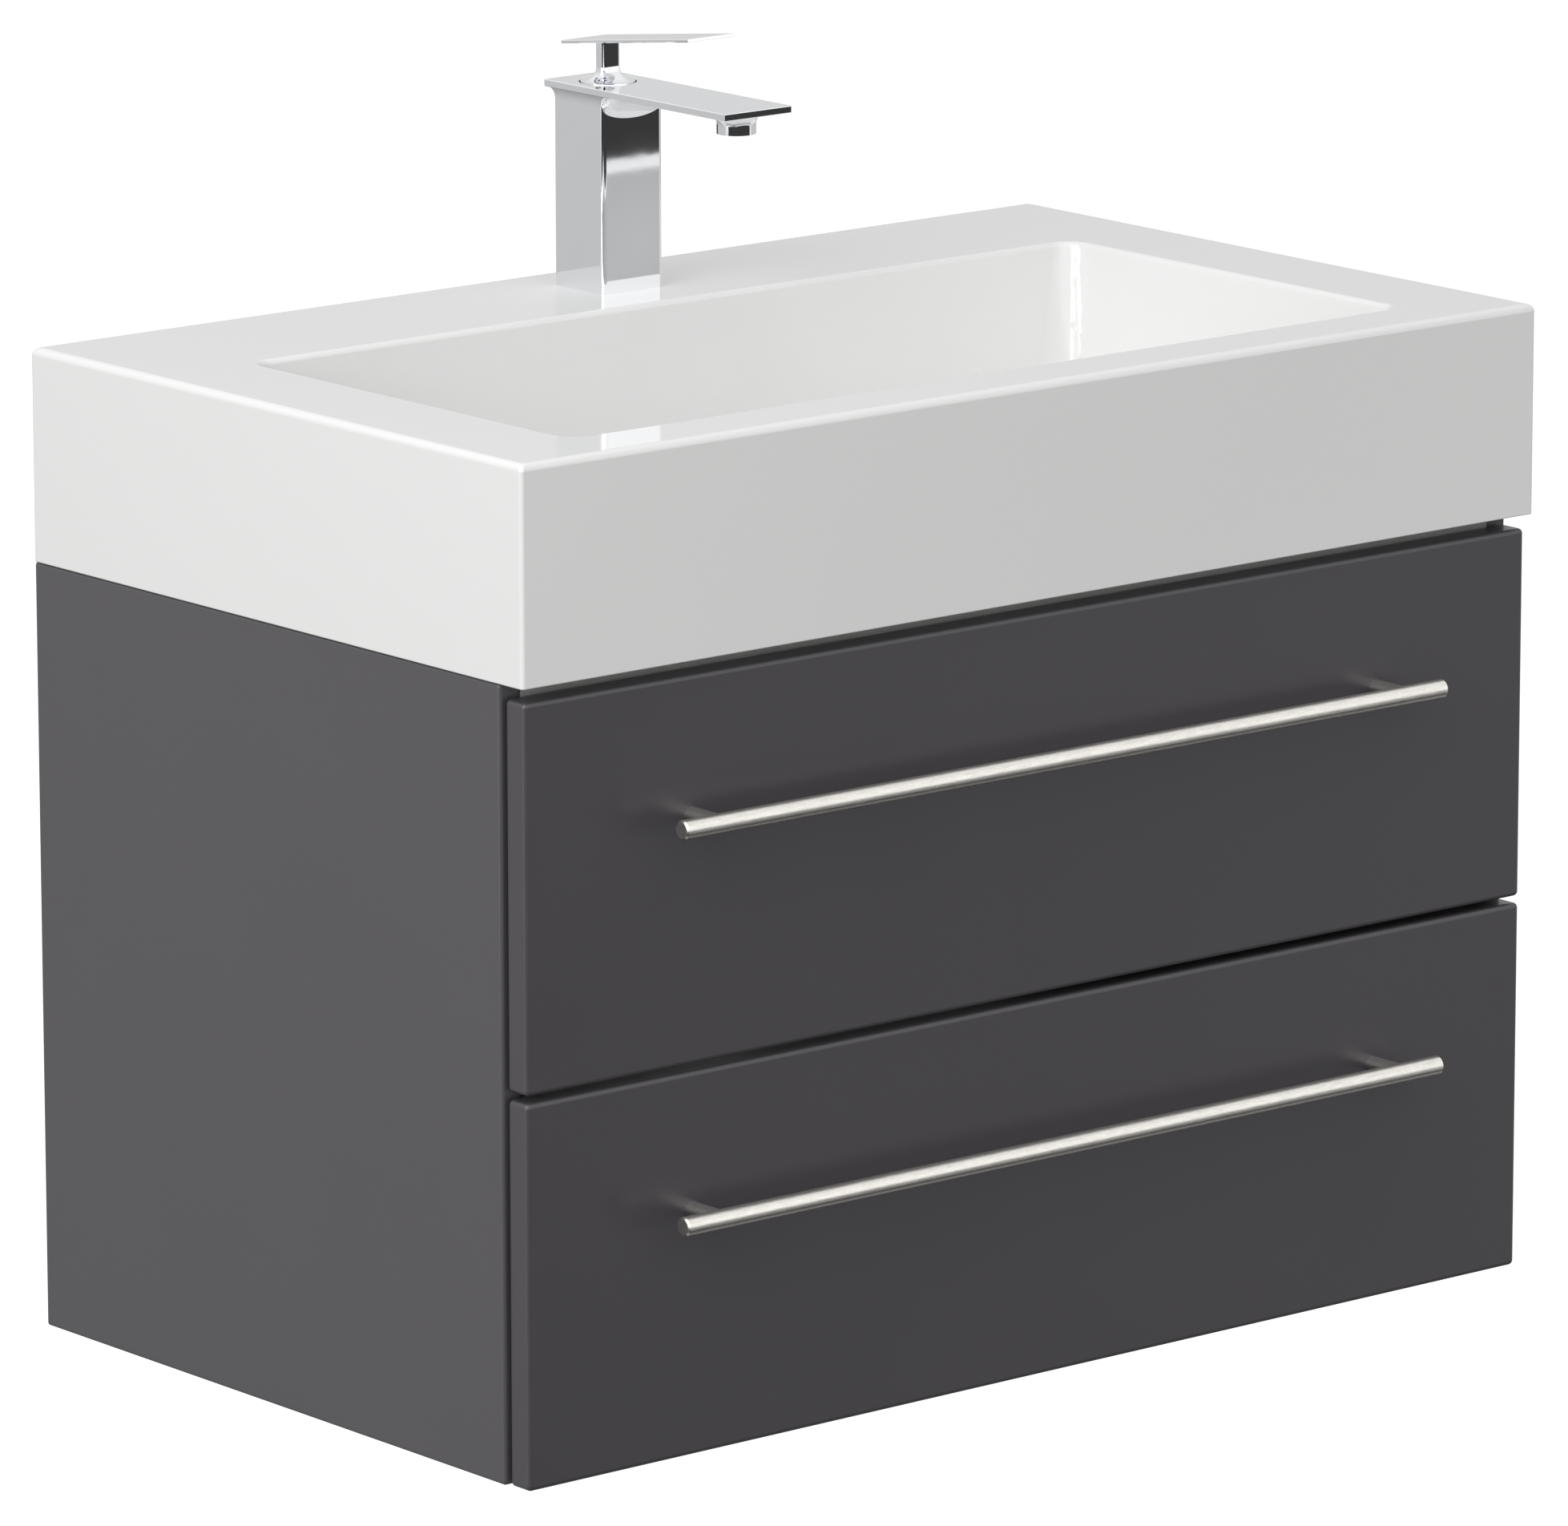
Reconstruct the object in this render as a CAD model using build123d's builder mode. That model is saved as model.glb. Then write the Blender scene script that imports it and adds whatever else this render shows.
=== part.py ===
from build123d import *
import math
import os

# Wall-hung bathroom vanity: two-drawer cabinet, rectangular basin and single-lever tap.
# Frame: X to the right, Y towards the wall, Z up. The origin lies on the wall,
# midway between the four screw holes of the two wall plates. All sizes are millimetres.

# Basin
basin_width = 800.0
basin_depth = 480.0
basin_height = 132.7
basin_wall = 12.0
deck_thickness = 14.0
deck_depth = 125.7
side_rim = 73.0
front_rim = 45.4
bowl_depth = 100.0
bowl_draft = 5.0
floor_fall = 8.0
basin_corner = 2.5
basin_top_round = 4.5
basin_top_steps = 6
basin_foot_round = 1.0
rim_round = 3.5
bowl_corner = 14.0
floor_corner = 26.0
floor_round = 16.0
drain_pad = 96.0
drain_back = 235.0

# Carcass
board = 16.0
carcass_height = 482.8
side_reveal = 1.5
front_reveal = 3.4
edge_round = 2.5
wall_screw_drop = 45.0
front_rail_depth = 80.0
rear_rail_height = 80.0
rail_joint_rise = 30.0
rear_rail_setback = 20.0

# Drawer fronts
front_board = 18.0
front_inset = 2.6
front_top_gap = 8.9
front_seam = 4.3
front_round = 3.0
front_corner = 3.2
front_back_round = 2.5
bumper_gap = 2.0
bumper_radius = 4.0
bumper_slack = 0.3
bumper_inset = 15.0

# Drawer boxes
box_board = 12.0
box_height = 150.0
box_rear_gap = 22.6
box_drop = 63.0
bottom_board = 8.0
bottom_rise = 10.0
groove_depth = 6.0
cutout_width = 220.0
cutout_lead = 70.0
cutout_corner = 45.0
guard_wall = 4.0
guard_height = 110.0

# Runners
runner_space = 13.0
runner_rear_gap = 26.6
runner_inset = 4.0
runner_height = 45.0
runner_sheet = 1.2
runner_bend = 1.5
runner_flange = 10.0
middle_height = 34.0
middle_flange = 8.0
middle_offset = 3.0
drawer_member_height = 22.0
drawer_member_flange = 7.6
glide_slack = 0.15
glide_length = 120.0
glide_margin = 0.8
runner_screw_radius = 2.0
runner_screw_head = 3.6
runner_head_height = 1.4
runner_screw_bite = 10.0
runner_screw_inset = 45.0

# Handles
handle_radius = 6.0
handle_length = 604.0
handle_spacing = 544.0
handle_reach = 28.0
handle_drop = 84.0
handle_chamfer = 1.0
post_radius = 5.0
coping_slack = 0.02
handle_screw_radius = 2.0
handle_screw_head = 4.2
handle_head_height = 2.6
handle_screw_bite = 9.0

# Dowels and cam fittings
dowel_radius = 4.0
dowel_depth = 14.0
cam_bolt_radius = 3.0
cam_bolt_seat = 11.0
cam_reach = 24.0
cam_radius = 7.5
cam_height = 12.5
cam_slot_width = 1.5
cam_slot_depth = 2.0
fitting_pitch = 32.0
fit_slack = 0.1

# Hangers and wall plates
hanger_width = 14.0
hanger_depth = 50.0
hanger_height = 48.0
hanger_top = 8.0
hanger_round = 3.0
hook_sheet = 4.0
hook_height = 8.0
hook_tip = 8.0
hook_tip_sheet = 2.2
hook_bite = 20.0
hook_slack = 0.4
adjuster_radius = 3.5
adjuster_depth = 3.0
hook_slot = 6.0
plate_sheet = 2.0
plate_width = 40.0
plate_jog = 3.2
plate_lip = 12.0
plate_margin = 12.0
plate_clear = 2.0
wall_hole_radius = 2.75
wall_hole_spacing = 20.0

# Waste
waste_radius = 20.95
waste_bore = 16.0
waste_tail = 38.0
groove_sink = 1.0
flange_radius = 31.5
flange_height = 4.0
flange_proud = 1.0
drain_hole_slack = 2.0
seal_sheet = 1.5
lower_seal_height = 5.0
lower_seal_radius = 31.0
nut_height = 10.0
nut_flats = 52.0
strainer_sheet = 3.0
strainer_hole = 3.5
strainer_pitch = 10.0
strainer_count = 6
flange_round = 1.2

# Tap
tap_back = 62.0
column_width = 48.2
column_depth = 49.1
column_corner = 3.0
tap_height = 129.5
spout_plate = 4.6
spout_width = 53.2
spout_front = 147.6
spout_rear = 30.6
spout_corner = 0.8
neck_height = 7.0
front_flare = 7.0
spout_reach = 126.0
aerator_radius = 12.3
aerator_drop = 17.0
aerator_fillet = 6.5
insert_radius = 10.6
insert_height = 7.0
insert_hole = 1.3
insert_inset = 0.8
insert_inner_ring = 4.0
insert_inner_count = 6
insert_outer_ring = 7.6
insert_outer_count = 12
tap_hole_radius = 17.5
tap_gasket_sheet = 1.5
tap_gasket_width = 3.5
tap_gasket_margin = 2.0
stud_radius = 4.0
stud_offset = 9.0
stud_bite = 14.0
stud_tail = 34.0
tap_washer_sheet = 3.0
tap_washer_radius = 24.0
tap_nut_height = 8.0
tap_nut_flats = 13.0
inlet_radius = 5.0
inlet_depth = 12.0
inlet_offset = 7.5
inlet_forward = 6.0
water_bore = 3.5
spout_edge = 0.5
neck_steps = 6

# Cartridge and lever
cartridge_radius = 17.5
cartridge_height = 38.0
cartridge_nut_height = 6.0
cartridge_nut_bore = 12.5
rotor_radius = 10.0
rotor_seat = 8.0
rotor_slack = 0.3
ring_radius = 17.25
ring_gap = 0.8
ring_dish = 5.0
ring_dish_depth = 0.4
pivot_drop = 3.0
dome_depth = 9.0
dome_clear = 0.6
pin_radius = 2.0
pin_length = 25.0
pin_fit = 0.02
pin_slack = 0.05
tongue_width = 8.0
tongue_radius = 4.6
tongue_slack = 0.4
lever_swing = 20.0
stem_width = 14.7
stem_depth = 7.1
stem_corner = 1.6
flare_height = 9.0
lever_width = 36.5
lever_plate = 2.1
lever_front = 102.3
lever_rear = 24.2
lever_rise = 27.3
lever_slope = 7.2
lever_corner = 0.8
lever_edge = 0.4
ring_ledge = 0.6
ring_corner = 16.2
flare_steps = 6

# Levels and places that follow from the sizes above
seat_z = wall_screw_drop
deck_z = seat_z + basin_height
floor_z = seat_z - carcass_height
carcass_width = basin_width - 2 * side_reveal
inner_half = carcass_width / 2 - board
front_face_y = front_reveal - basin_depth
front_back_y = front_face_y + front_board
carcass_front_y = front_back_y + bumper_gap
front_width = carcass_width - 2 * front_inset
front_height = (carcass_height - front_top_gap - front_seam) / 2
front_pitch = front_height + front_seam
box_half = inner_half - runner_space
rail_front_y = -rear_rail_setback - board
box_rear_y = rail_front_y - box_rear_gap
box_length = box_rear_y - front_back_y
drain_y = -drain_back
tap_y = -tap_back
spout_top_z = deck_z + tap_height
spout_under_z = spout_top_z - spout_plate
pivot_z = spout_top_z - pivot_drop
cavity_radius = ring_radius + ring_gap
LEFT, RIGHT = -1, 1
SIDES = (LEFT, RIGHT)

os.makedirs("parts", exist_ok=True)


def save(builder, name):
    """Labels a finished piece and writes its STEP file."""
    builder.part.label = name
    export_step(builder.part, f"parts/{name}.step")


def bore(points, radius, depth, along):
    """Cuts round holes, each reaching depth to both sides of its point."""
    turn = {"x": (0, 90, 0), "y": (90, 0, 0), "z": (0, 0, 0)}[along]
    with Locations(*points):
        Cylinder(radius, 2 * depth, rotation=turn, mode=Mode.SUBTRACT)


def block(x_range, y_range, z_range, mode=Mode.ADD):
    """A rectangular block between three pairs of limits."""
    ranges = (x_range, y_range, z_range)
    with Locations(tuple((low + high) / 2 for low, high in ranges)):
        Box(*(abs(high - low) for low, high in ranges), mode=mode)


# Places of the joints between the boards, seen from the boards' ends.
# Each entry is y and z; dowel and cam bolt lie to either side of it.
bottom_mid_z = floor_z + board / 2
rail_mid_z = seat_z - board / 2
rear_mid_y = rail_front_y + board / 2
top_rail_z = (seat_z - rear_rail_height, seat_z)
low_rail_z = (floor_z + board, floor_z + board + rear_rail_height)
flat_joints = [
    (carcass_front_y + front_rail_depth / 2, bottom_mid_z),
    (carcass_front_y / 2 + front_rail_depth / 2, bottom_mid_z),
    (carcass_front_y + front_rail_depth / 2, rail_mid_z),
]
upright_joints = [(rear_mid_y, low + rail_joint_rise) for low, _ in (top_rail_z, low_rail_z)]


def dowel_points(x):
    """Dowel centres on the plane between a board's end and a side panel."""
    flat = [(x, y + fitting_pitch / 2, z) for y, z in flat_joints]
    upright = [(x, y, z + fitting_pitch / 2) for y, z in upright_joints]
    return flat + upright


def cam_points(x):
    """Cam bolt centres on the plane between a board's end and a side panel."""
    flat = [(x, y - fitting_pitch / 2, z) for y, z in flat_joints]
    upright = [(x, y, z - fitting_pitch / 2) for y, z in upright_joints]
    return flat + upright


def front_top_z(level):
    """Top edge of a drawer front: level 0 is the upper drawer, 1 the lower."""
    return seat_z - front_top_gap - level * front_pitch


def runner_z(level):
    """Height of a drawer's runners: the middle of its box."""
    return front_top_z(level) - box_drop - box_height / 2


runner_front_y = carcass_front_y + runner_inset
runner_rear_y = rail_front_y - runner_rear_gap
runner_length = runner_rear_y - runner_front_y
runner_screw_ys = (runner_front_y + runner_screw_inset, runner_rear_y - runner_screw_inset)


def runner_screw_points(x, level):
    """Centres of a drawer's runner screws on one upright plane."""
    return [(x, y, runner_z(level)) for y in runner_screw_ys]


def side_panel(side):
    """One side panel, with its front edges rounded and its inner face drilled."""
    inner_x = side * inner_half
    with BuildPart() as panel:
        block((inner_x, side * carcass_width / 2), (carcass_front_y, 0), (floor_z, seat_z))
        front = panel.faces().sort_by(Axis.Y)[0].edges()
        outer = panel.faces().sort_by(Axis.X, reverse=side == RIGHT)[0].edges().filter_by(Axis.Y)
        fillet(front + outer, edge_round)
        bore(dowel_points(inner_x), dowel_radius + fit_slack, dowel_depth - fit_slack, "x")
        bore(cam_points(inner_x), cam_bolt_radius + fit_slack, cam_bolt_seat, "x")
        for level in (0, 1):
            points = runner_screw_points(inner_x, level)
            bore(points, runner_screw_radius + fit_slack, runner_screw_bite + fit_slack, "x")
    return panel


for side, word in ((LEFT, "left"), (RIGHT, "right")):
    save(side_panel(side), f"side_panel_{word}")


def near(point, flat_z, upright_z):
    """True for the joints of the board whose middle lies at the given level."""
    if flat_z is not None:
        return abs(point[2] - flat_z) < board / 2 and abs(point[1] - rear_mid_y) > board
    return upright_z[0] < point[2] < upright_z[1] and abs(point[1] - rear_mid_y) < board


def drill_board_ends(flat_z=None, upright_z=None):
    """Drills the dowel, cam bolt and cam disc holes of the board at one level."""
    for side in SIDES:
        end_x = side * inner_half
        dowels = [p for p in dowel_points(end_x) if near(p, flat_z, upright_z)]
        cams = [p for p in cam_points(end_x) if near(p, flat_z, upright_z)]
        bore(dowels, dowel_radius + fit_slack, dowel_depth + fit_slack, "x")
        bore(cams, cam_bolt_radius + fit_slack, cam_reach, "x")
        for x, y, z in cams:
            centre_x = x - side * cam_reach
            if flat_z is not None:
                bore([(centre_x, y, z - board / 2)], cam_radius + fit_slack, cam_height, "z")
            else:
                bore([(centre_x, y + board / 2, z)], cam_radius + fit_slack, cam_height, "y")


with BuildPart() as bottom_panel:
    block((-inner_half, inner_half), (carcass_front_y, 0), (floor_z, floor_z + board))
    drill_board_ends(flat_z=bottom_mid_z)
save(bottom_panel, "bottom_panel")

with BuildPart() as front_rail:
    rail_back_y = carcass_front_y + front_rail_depth
    block((-inner_half, inner_half), (carcass_front_y, rail_back_y), (seat_z - board, seat_z))
    drill_board_ends(flat_z=rail_mid_z)
save(front_rail, "front_rail")

# The hooks reach the wall through one slot near each end of the upper rear rail.
hanger_mid = inner_half - hanger_width / 2
hanger_z = (seat_z - hanger_top - hanger_height, seat_z - hanger_top)
hook_z = hanger_z[1] - hook_height

with BuildPart() as rear_rail_top:
    rail_y = (rail_front_y, -rear_rail_setback)
    block((-inner_half, inner_half), rail_y, top_rail_z)
    for side in SIDES:
        slot_x = (side * (hanger_mid - hook_slot), side * (hanger_mid + hook_slot))
        slot_z = (hook_z - hook_slot, hook_z + hook_height + hook_slot / 2)
        block(slot_x, rail_y, slot_z, mode=Mode.SUBTRACT)
    drill_board_ends(upright_z=top_rail_z)
save(rear_rail_top, "rear_rail_top")

with BuildPart() as rear_rail_bottom:
    block((-inner_half, inner_half), rail_y, low_rail_z)
    drill_board_ends(upright_z=low_rail_z)
save(rear_rail_bottom, "rear_rail_bottom")

with BuildPart() as dowels:
    for side in SIDES:
        with Locations(*dowel_points(side * inner_half)):
            Cylinder(dowel_radius, 2 * (dowel_depth - 2 * fit_slack), rotation=(0, 90, 0))
save(dowels, "dowels")

with BuildPart() as cam_bolts:
    bolt_length = cam_bolt_seat + cam_reach - 2 * fit_slack
    for side in SIDES:
        bolt_mid = side * (inner_half + (cam_bolt_seat - cam_reach) / 2)
        with Locations(*cam_points(bolt_mid)):
            Cylinder(cam_bolt_radius, bolt_length, rotation=(0, 90, 0))
save(cam_bolts, "cam_bolts")

with BuildPart() as cam_discs:
    notch_radius = cam_bolt_radius + fit_slack
    for side in SIDES:
        for x, y, z in cam_points(side * (inner_half - cam_reach)):
            upright = abs(y - rear_mid_y) < board
            turn = (90, 0, 0) if upright else (0, 0, 0)
            face = (x, y + board / 2, z) if upright else (x, y, z - board / 2)
            lift = (0, -cam_height / 2, 0) if upright else (0, 0, cam_height / 2)
            with Locations(tuple(a + b for a, b in zip(face, lift))):
                Cylinder(cam_radius, cam_height, rotation=turn)
            with Locations((x + side * cam_radius / 2, y, z)):
                Cylinder(notch_radius, 2 * cam_radius, rotation=(0, 90, 0), mode=Mode.SUBTRACT)
            with Locations(face):
                Box(cam_radius, cam_slot_width, 2 * cam_slot_depth, rotation=turn, mode=Mode.SUBTRACT)
save(cam_discs, "cam_discs")

# Hangers, hooks and wall plates
with BuildPart() as hangers:
    for side in SIDES:
        hanger_x = (side * (inner_half - hanger_width), side * inner_half)
        block(hanger_x, (rail_front_y - hanger_depth, rail_front_y), hanger_z)
    fillet(hangers.edges().filter_by(Axis.X).group_by(Axis.Y)[0], hanger_round)
    for side in SIDES:
        arm_half = hook_sheet / 2 + fit_slack
        arm_x = (side * hanger_mid - arm_half, side * hanger_mid + arm_half)
        arm_y = (rail_front_y - hook_bite - fit_slack, rail_front_y)
        block(arm_x, arm_y, (hook_z - fit_slack, hook_z + hook_height + fit_slack), mode=Mode.SUBTRACT)
        adjusters = [(side * hanger_mid, rail_front_y - hanger_depth, z) for z in
                     (hanger_z[0] + hanger_height / 4, hanger_z[1] - hanger_height / 4)]
        bore(adjusters, adjuster_radius, adjuster_depth, "y")
save(hangers, "hangers")

# The lip of the wall plate stands clear of the wall, so that the hook's tip drops behind it.
lip_back_y = -plate_sheet - plate_jog
hook_back_y = lip_back_y + hook_slack + hook_tip_sheet
with BuildPart() as hanger_hooks:
    for side in SIDES:
        with BuildSketch(Plane.YZ.offset(side * hanger_mid - hook_sheet / 2)):
            with BuildLine():
                Polyline(
                    (rail_front_y - hook_bite, hook_z),
                    (hook_back_y - hook_tip_sheet, hook_z),
                    (hook_back_y - hook_tip_sheet, hook_z - hook_tip),
                    (hook_back_y, hook_z - hook_tip),
                    (hook_back_y, hook_z + hook_height),
                    (rail_front_y - hook_bite, hook_z + hook_height),
                    close=True,
                )
            make_face()
        extrude(amount=hook_sheet)
save(hanger_hooks, "hanger_hooks")

plate_mid = inner_half - plate_clear - plate_width / 2
jog_z = hook_z - plate_lip
plate_low_z = -wall_hole_spacing / 2 - plate_margin
with BuildPart() as wall_plates:
    for side in SIDES:
        with BuildSketch(Plane.YZ.offset(side * plate_mid - plate_width / 2)):
            with BuildLine():
                Polyline(
                    (0, plate_low_z),
                    (0, jog_z + plate_sheet),
                    (lip_back_y, jog_z + plate_sheet),
                    (lip_back_y, hook_z),
                    (lip_back_y - plate_sheet, hook_z),
                    (lip_back_y - plate_sheet, jog_z),
                    (-plate_sheet, jog_z),
                    (-plate_sheet, plate_low_z),
                    close=True,
                )
            make_face()
        extrude(amount=plate_width)
        holes = [(side * plate_mid, 0, z) for z in (-wall_hole_spacing / 2, wall_hole_spacing / 2)]
        bore(holes, wall_hole_radius, 2 * plate_sheet, "y")
save(wall_plates, "wall_plates")

# Basin: an apron round a deck, with the bowl hanging from the deck as a shell
opening_width = basin_width - 2 * side_rim
opening_depth = basin_depth - front_rim - deck_depth
bowl_y = -deck_depth - opening_depth / 2
bowl_floor_z = deck_z - bowl_depth
pad_z = bowl_floor_z - floor_fall
shell_z = pad_z - basin_wall


def bowl_size(z, grow=0.0):
    """Width and depth of the bowl at a level, narrowed by its draft, grown by a wall."""
    narrowing = 2 * (deck_z - z) * math.tan(math.radians(bowl_draft))
    return opening_width - narrowing + 2 * grow, opening_depth - narrowing + 2 * grow


# The room in the bowl: drafted walls, a rounded floor edge and a floor falling to the drain pad
with BuildPart() as bowl_room:
    for level_z, corner in ((deck_z, bowl_corner), (bowl_floor_z, floor_corner)):
        with BuildSketch(Plane.XY.offset(level_z)):
            with Locations((0, bowl_y)):
                RectangleRounded(*bowl_size(level_z), corner)
    loft()
    fillet(bowl_room.faces().sort_by(Axis.Z)[0].edges(), floor_round)
    with BuildSketch(Plane.XY.offset(bowl_floor_z)):
        with Locations((0, bowl_y)):
            RectangleRounded(*bowl_size(bowl_floor_z, -floor_round), floor_corner - floor_round)
    with BuildSketch(Plane.XY.offset(pad_z)):
        with Locations((0, drain_y)):
            RectangleRounded(drain_pad, drain_pad, floor_corner - floor_round)
    loft()

with BuildPart() as bowl_shell:
    shell_top_z = deck_z - deck_thickness / 2
    for level_z, corner in ((shell_top_z, bowl_corner), (shell_z, floor_corner)):
        with BuildSketch(Plane.XY.offset(level_z)):
            with Locations((0, bowl_y)):
                RectangleRounded(*bowl_size(level_z, basin_wall), corner + basin_wall)
    loft()
    fillet(bowl_shell.faces().sort_by(Axis.Z)[0].edges(), floor_round)

with BuildPart() as basin:
    with BuildSketch(Plane.XY.offset(seat_z)):
        with Locations((0, -basin_depth / 2)):
            RectangleRounded(basin_width, basin_depth, basin_corner)
    extrude(amount=basin_height - basin_top_round)
    fillet(basin.faces().sort_by(Axis.Z)[0].edges(), basin_foot_round)
    # The top edge is rounded more than the upright corners, so it is lofted through insets.
    for step in range(basin_top_steps + 1):
        turn = math.pi / 2 * step / basin_top_steps
        inset = basin_top_round * (1 - math.cos(turn))
        with BuildSketch(Plane.XY.offset(deck_z - basin_top_round * (1 - math.sin(turn)))):
            with Locations((0, -basin_depth / 2)):
                RectangleRounded(basin_width - 2 * inset, basin_depth - 2 * inset, basin_corner)
    loft()
    with BuildSketch(Plane.XY.offset(seat_z)):
        with Locations((0, -basin_depth / 2)):
            RectangleRounded(basin_width - 2 * basin_wall, basin_depth - 2 * basin_wall, basin_wall)
    extrude(amount=basin_height - deck_thickness, mode=Mode.SUBTRACT)
    add(bowl_shell.part)
    add(bowl_room.part, mode=Mode.SUBTRACT)
    fillet(basin.faces().sort_by(Axis.Z)[-1].inner_wires()[0].edges(), rim_round)
    recess_depth = seal_sheet + flange_height - flange_proud
    bore([(0, drain_y, pad_z)], flange_radius + drain_hole_slack, recess_depth, "z")
    bore([(0, drain_y, pad_z)], waste_radius + drain_hole_slack, 2 * basin_wall, "z")
    bore([(0, tap_y, deck_z)], tap_hole_radius, 2 * deck_thickness, "z")
save(basin, "basin")


def ring(name, centre_y, z_range, inner_radius, outer_radius):
    """A flat ring round an upright axis on the middle plane."""
    low_z, high_z = z_range
    with BuildPart() as piece:
        with BuildSketch(Plane.XY.offset(low_z)):
            with Locations((0, centre_y)):
                Circle(outer_radius)
                Circle(inner_radius, mode=Mode.SUBTRACT)
        extrude(amount=high_z - low_z)
    save(piece, name)


def hex_nut(name, centre_y, z_range, hole_radius, flats):
    """A six-sided nut round an upright axis on the middle plane."""
    low_z, high_z = z_range
    with BuildPart() as piece:
        with BuildSketch(Plane.XY.offset(low_z)):
            with Locations((0, centre_y)):
                RegularPolygon(flats / 2, 6, major_radius=False)
                Circle(hole_radius, mode=Mode.SUBTRACT)
        extrude(amount=high_z - low_z)
    save(piece, name)


# Waste: a strainer flange in the drain recess, clamped from below by a nut
flange_under_z = pad_z - recess_depth + seal_sheet
flange_top_z = flange_under_z + flange_height
waste_nut_z = shell_z - lower_seal_height
waste_end_z = waste_nut_z - nut_height - waste_tail

with BuildPart() as waste_body:
    with BuildSketch(Plane.XZ.offset(-drain_y)):
        with BuildLine():
            Polyline(
                (0, pad_z),
                (waste_bore, pad_z),
                (waste_radius, flange_top_z),
                (flange_radius, flange_top_z),
                (flange_radius, flange_under_z),
                (waste_radius, flange_under_z),
                (waste_radius, waste_nut_z - nut_height),
                (waste_radius - groove_sink, waste_nut_z - nut_height),
                (waste_radius - groove_sink, waste_nut_z - nut_height - groove_sink),
                (waste_radius, waste_nut_z - nut_height - groove_sink),
                (waste_radius, waste_end_z),
                (waste_bore, waste_end_z),
                (waste_bore, pad_z - strainer_sheet),
                (0, pad_z - strainer_sheet),
                close=True,
            )
        make_face()
    revolve(axis=Axis((0, drain_y, 0), (0, 0, 1)))
    fillet(waste_body.faces().sort_by(Axis.Z)[-1].outer_wire().edges(), flange_round)
    with Locations((0, drain_y, pad_z)):
        Cylinder(strainer_hole, 4 * strainer_sheet, mode=Mode.SUBTRACT)
        with PolarLocations(strainer_pitch, strainer_count):
            Cylinder(strainer_hole, 4 * strainer_sheet, mode=Mode.SUBTRACT)
save(waste_body, "waste_body")

waste_hole = waste_radius + fit_slack
ring("waste_seal", drain_y, (pad_z - recess_depth, flange_under_z), waste_hole, flange_radius)
ring("waste_lower_seal", drain_y, (waste_nut_z, shell_z), waste_hole, lower_seal_radius)
hex_nut("waste_nut", drain_y, (waste_nut_z - nut_height, waste_nut_z), waste_hole, nut_flats)

# Tap: the lever's ball foot turns in the round cavity above the cartridge
swing = math.radians(lever_swing)
dome_sphere = math.hypot(ring_radius, pivot_drop)
dome_rim = math.sqrt(dome_sphere**2 - dome_depth**2)
dome_sweep = dome_depth * math.cos(swing) + dome_rim * math.sin(swing)
cartridge_nut_z = pivot_z - dome_sweep - dome_clear
cartridge_top_z = cartridge_nut_z - cartridge_nut_height
cartridge_floor_z = cartridge_top_z - cartridge_height
aerator_y = tap_y - spout_reach
aerator_low_z = spout_top_z - aerator_drop
stud_y = tap_y + stud_offset
inlets = [(side * inlet_offset, tap_y - inlet_forward) for side in SIDES]
gasket_inner = tap_hole_radius + tap_gasket_margin
gasket_outer = gasket_inner + tap_gasket_width

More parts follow.
